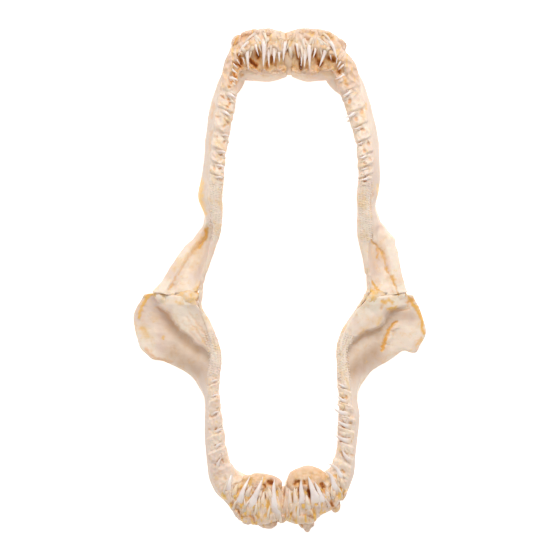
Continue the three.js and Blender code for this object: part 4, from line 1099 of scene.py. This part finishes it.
def prongs(mesh, line, width, feet):
    """The two legs of a fang's root, which show through the gum as a fork round the foot of the crown."""
    (ax, ay), (bx, by), (cx, cy) = line[:3]
    length = math.hypot(bx - ax, by - ay) + 1e-6
    side_x, side_y = (ay - by) / length, (bx - ax) / length
    for way in (-1, 1):
        wide, near = (apart * width * way for apart in PRONGS_APART)
        leg = [(ax + side_x * wide - (bx - ax) * 0.25, ay + side_y * wide - (by - ay) * 0.25),
               ((ax + bx) / 2 + side_x * wide * 0.85, (ay + by) / 2 + side_y * wide * 0.85),
               (bx + side_x * near + (cx - bx) * 0.3, by + side_y * near + (cy - by) * 0.3)]
        crown(mesh, leg, PRONG_WIDTH, [(None, -0.5), (feet[0], 0.5), (feet[1], 0.3)], fade=NO_ROOT, sharp=0.25,
              root=1.2)


def teeth(jaw, side, fangs, arm):
    mesh, folds = fresh(), fresh()
    dice = random.Random(f"{jaw} {side}")
    for line, width, rise in fangs:
        if rise < FOLD_BELOW:
            crown(folds, line, width * 1.15, [(None, -1.2)] + [(None, 0.4)] * (len(line) - 2) + [(None, -0.2)],
                  fade=NO_ROOT, sharp=0.4, root=1.1)
            continue
        if jaw == "lower":
            lifts = [(None, -1.2)] + [(None, 0.1 * rise), (None, 0.5 * rise)][:len(line) - 2] + [(None, 0.9 * rise)]
            crown(mesh, line, width, lifts, root=2.3, steps=FANG_STEPS, flat=0.14, fade=FANG_FADE)
            prongs(folds, line, width, (None, None))
            continue
        foot = max(top_of(*line[0], FOOT_OTHERWISE) - 1, top_of(*line[1], FOOT_OTHERWISE))
        crown(mesh, line, width, [(None, -1.6), (foot, 0.6), (foot, min(rise, 2.5) - 0.5)], root=1.7)
        if rise > 2:
            prongs(folds, line, width, (foot, foot))
    for (x, y), (tip_x, tip_y) in arm:
        length = math.hypot(tip_x - x, tip_y - y)
        run_x, run_y = (tip_x - x) / length, (tip_y - y) / length
        width = max(ARM_CROWN_LEAST, ARM_CROWN_WIDTH * length)
        foot = top_of(x, y, FOOT_OTHERWISE)
        line = [(x - run_x * 2.6 + run_y * 0.6, y - run_y * 2.6 - run_x * 0.6), (x, y),
                ((x + tip_x) / 2 - run_y * 0.5, (y + tip_y) / 2 + run_x * 0.5), (tip_x, tip_y)]
        crown(mesh, line, width, [(None, -0.7), (foot, 0.3), (foot, 1.4), (foot, 1.8)], root=1.7)
        for shift, share in CUSPS:
            start = (x - run_y * shift + run_x * 0.4, y + run_x * shift + run_y * 0.4)
            end = (start[0] + run_x * length * share * 0.6, start[1] + run_y * length * share * 0.6)
            middle = ((start[0] + end[0]) / 2, (start[1] + end[1]) / 2)
            crown(mesh, [start, middle, end], CUSP_WIDTH, [(None, -0.4), (foot, 0.6), (foot, 1.1)],
                  steps=CUSP_STEPS)
        towards = -1 if jaw == "upper" else 1
        spare_x, spare_y = x + run_x * 1.6, y + towards * (SPARE_BEHIND + dice.random()) + run_y * 1.6
        spare = [(spare_x, spare_y), (spare_x + run_x * 2, spare_y + run_y * 2),
                 (spare_x + run_x * length * 0.6, spare_y + run_y * length * 0.6)]
        crown(folds, spare, width * 0.9, [(None, -0.8), (None, 0.1), (None, 0.4)], fade=NO_ROOT, steps=SPARE_STEPS)
    return [keep(f"{jaw}_tooth_files_{side}", mesh, tooth_finish, "teeth_and_gum"),
            keep(f"{jaw}_gum_folds_{side}", folds, gum_finish, "teeth_and_gum")]


def beads(jaw, side):
    """The crushing teeth at the back: rows of low beads that the gum has dried over."""
    mesh = fresh()
    dice = random.Random(f"beads {jaw} {side}")
    line, count = BEAD_ROWS[jaw][side]
    outwards = 1 if side == "left" else -1
    for row in range(count):
        for file in range(BEAD_FILES):
            x, y = through(line, (row + 0.5 * (file % 2)) / count)
            x += outwards * (file * BEAD_SPACING - 0.6) + dice.uniform(-BEAD_SCATTER[0], BEAD_SCATTER[0])
            y += (BEAD_SHIFT if jaw == "upper" else -BEAD_SHIFT) * file
            y += dice.uniform(-BEAD_SCATTER[1], BEAD_SCATTER[1])
            size = BEAD_SIZE * dice.uniform(0.7, 1.1)
            top = top_of(x, y, 0)
            if top < BARE_BELOW:
                continue
            crown(mesh, [(x + outwards * size * 1.2, y), (x, y), (x - outwards * size * 1.3, y)], size * 1.1,
                  [(top, -0.65), (top, 0.0), (top, -0.2)], fade=NO_ROOT, sharp=0.3, root=0.9, steps=BEAD_STEPS)
    return keep(f"{jaw}_bead_rows_{side}", mesh, gum_finish, "teeth_and_gum")


crowns = []
for side in ("left", "right"):
    crowns += teeth("upper", side, UPPER_FANGS[side], UPPER_ARM[side])
    crowns += teeth("lower", side, LOWER_FANGS[side], LOWER_ARM[side])
bead_rows = [beads(jaw, side) for jaw in ("upper", "lower") for side in ("left", "right")]

# ---- The ligaments: a golden pad of dried fibres over each jaw joint, a thin strap round each corner of the mouth,
# ---- and a pad of membrane that holds each jaw's two halves together at the front.
JOINT_ROUTE = [(63, -16.5, 26.4), (68, -14.5, 24.4), (75, -14.5, 18.5), (82, -14, 14.5), (97, -11.5, 12.5)]
STRAP_ROUTES = {
    "right": [(58, 24, 30.5), (60.5, 10, 29.2), (62.5, -6, 28), (60, -21, 28.4), (54, -32, 29.6)],
    "left": [(58, 24, 30.5), (61, 10, 29.2), (65, -6, 28), (60.5, -21, 28.4), (54, -32, 29.6)],
}
JOINT_RADIUS, STRAP_RADIUS = 4.0, 1.3
JOINT_SWELL = (1.2, 0.62)         # the pad is thick at the mouth and thin at the outside
CORD_ROUNDING = 0.06              # the share of its length over which each end rounds off
CORD_STEPS, MEMBRANE_STEPS = (90, 28), (12, 80)
CORD_SWELLS, CORD_LUMPS, CORD_RIPPLES = (5.0, 0.5, 3.0), (3.5, 0.9, 7.0), (1.4, 0.3, 3.0)
CORD_PATCHES, MEMBRANE_PUCKER = (6.0, 1.0, 11.0), (3.0, 0.5, 3.0)
JOINT_FLATNESS, JOINT_GOLD = 1.2, 0.6
MEMBRANE_RISE, MEMBRANE_SPAN = 15.5, 4.0
MEMBRANE_STAIN, MEMBRANE_GOLD = 0.1, 0.25
MEMBRANE_SHORT = {"upper": 0, "lower": 6}     # how far it stops short of the mouth
MEMBRANE_LIP_RISE, MEMBRANE_FREE_RISE = 3, 5    # how far its two edges lie above the plate's own
MEMBRANE_WIDTH = 0.98             # against the plate's own
# The stain colour is also the colour of the painted shade in its hollows.
ligament_finish = dried_tissue(
    "dried_ligament", pale=colour(242, 221, 200), shade=colour(226, 203, 186), warm=colour(238, 206, 156),
    stain_and_shade=colour(196, 132, 62), roughness=0.3, fibre=(500, 120, 300), flecks=0.5)


def cord(name, side, route, radius, golden, node, flat=1.0, swell=(1.0, 1.0)):
    def point(share, turn):
        here, sideways, upwards = line_at(route, share)
        close = rounded(share, CORD_ROUNDING, CORD_ROUNDING)
        thick = close * (radius * (0.7 + 0.5 * math.sin(math.pi * share)) + rough(here, *CORD_SWELLS))
        thick *= mixed(*swell, share)
        spot = here + sideways * thick * flat * math.cos(turn) + upwards * thick * math.sin(turn) / flat
        place = laid(side, spot)
        place += Vector((0, 0, 1)) * (rough(place, *CORD_LUMPS) + rough(place, *CORD_RIPPLES)) * close
        patchy = 0.8 + rough(place, *CORD_PATCHES)
        return place, 0.0, golden * min(1.0, max(0.0, patchy)), 0.0, 0.0

    mesh = fresh()
    skin(mesh, CORD_STEPS, point)
    return keep(name, mesh, ligament_finish, "ligament", node)


def membrane(jaw, rows):
    """The pad between the two halves: a slice of the cartilage's own first section, puckered by the drying."""
    lip, free, build = plate_at(rows, 0.0)
    lip.y -= MEMBRANE_SHORT[jaw]
    lip.z += MEMBRANE_LIP_RISE
    free.z += MEMBRANE_FREE_RISE
    middle, half = (lip + free) / 2, (free - lip) / 2 * MEMBRANE_WIDTH
    outwards = Vector((0, half.z, -half.y)).normalized()
    if outwards.z < 0:
        outwards = -outwards

    def point(share, turn):
        close = math.sqrt(max(0.0, 1 - (2 * share - 1) ** 2))
        reach = 0.7 + 0.3 * close
        spot = middle + half * math.cos(turn) * reach + outwards * MEMBRANE_RISE * math.sin(turn) * reach
        place = Vector((mixed(-MEMBRANE_SPAN, MEMBRANE_SPAN, share) + sway(spot.y), spot.y, spot.z))
        if share in (0.0, 1.0):
            place = Vector((place.x, middle.y, middle.z))
        place += Vector((0, 0.4, 1)) * rough(place, *MEMBRANE_PUCKER)
        return place, MEMBRANE_STAIN, MEMBRANE_GOLD, 0.0, 0.0

    mesh = fresh()
    skin(mesh, MEMBRANE_STEPS, point)
    return keep(f"{jaw}_symphysis_membrane", mesh, ligament_finish, "ligament", f"{jaw}_symphysis")


ligaments = []
for side in ("left", "right"):
    ligaments.append(cord(f"joint_pad_{side}", side, JOINT_ROUTE, JOINT_RADIUS, JOINT_GOLD,
                          f"joint_ligament_{side}", JOINT_FLATNESS, JOINT_SWELL))
    ligaments.append(cord(f"mouth_corner_strap_{side}", side, STRAP_ROUTES[side], STRAP_RADIUS, 0.0,
                          f"corner_strap_{side}"))
ligaments.append(membrane("upper", UPPER_PLATE))
ligaments.append(membrane("lower", LOWER_PLATE))

# ---- The hollows: every surface knows how shut in it is, which the finishes paint as browner shade, and how
# ---- far it slopes away from level, which they paint as greyer shade on the sides. Rays from each corner of a
# ---- mesh, up to a little over a centimetre long, find what shuts it in; the undersides are left as they are.
RAYS, REACH = 14, 13.0
GOLDEN_TURN = 2.4                 # how far round the next ray of the fan points, in radians
RAY_START, SHADE_PAINTED_ABOVE = 0.3, 15
# The share of shut rays at which the painted shade begins, and over which it grows; and how much of it a piece takes.
PLATES_OPEN, OTHERS_OPEN, OPEN_SPAN = 0.42, 0.41, 0.5
BEADS_TAKE, PLATES_TAKE = 0.1, 0.85
SLOPE_SHOWN, TOWARDS_MOUTH = 0.8, 0.35
pieces = plates + gums + crowns + ligaments
whole = tree_of(pieces)
fan = []
for i in range(RAYS):
    steep = (i + 0.5) / RAYS
    level = math.sqrt(1 - steep)
    fan.append(Vector((level * math.cos(i * GOLDEN_TURN), level * math.sin(i * GOLDEN_TURN), math.sqrt(steep))))
for piece in pieces + bead_rows:
    take = BEADS_TAKE if piece in bead_rows else PLATES_TAKE if piece in plates else 1.0
    opening = PLATES_OPEN if piece in plates else OTHERS_OPEN
    shut, edge = (piece.data.attributes[tint].data for tint in ("shade_and_tint", "edge"))
    for vert in piece.data.vertices:
        if vert.co.z < SHADE_PAINTED_ABOVE * MM:
            continue
        # Painted shade on the sides: the steeper a corner slopes, the greyer, less on sides that look towards the
        # mouth.
        looks_out = vert.normal.x * vert.co.x + vert.normal.y * vert.co.y > 0
        slope = 1 - smooth(0.0, SLOPE_SHOWN, vert.normal.z)
        edge[vert.index].value = slope * (1.0 if looks_out else TOWARDS_MOUTH)
        turned = vert.normal.to_track_quat("Z", "Y")
        start = vert.co + vert.normal * RAY_START * MM
        hits = 0.0
        for ray in fan:
            distance = whole.ray_cast(start, turned @ ray, REACH * MM)[3]
            if distance is not None:
                hits += 1 - distance / (REACH * MM)
        # Painted shade in the hollows: the more of the rays are shut in, the browner the corner.
        occlusion_shade = take * smooth(opening, opening + OPEN_SPAN, hits / RAYS)
        shut[vert.index].value = max(shut[vert.index].value, occlusion_shade)
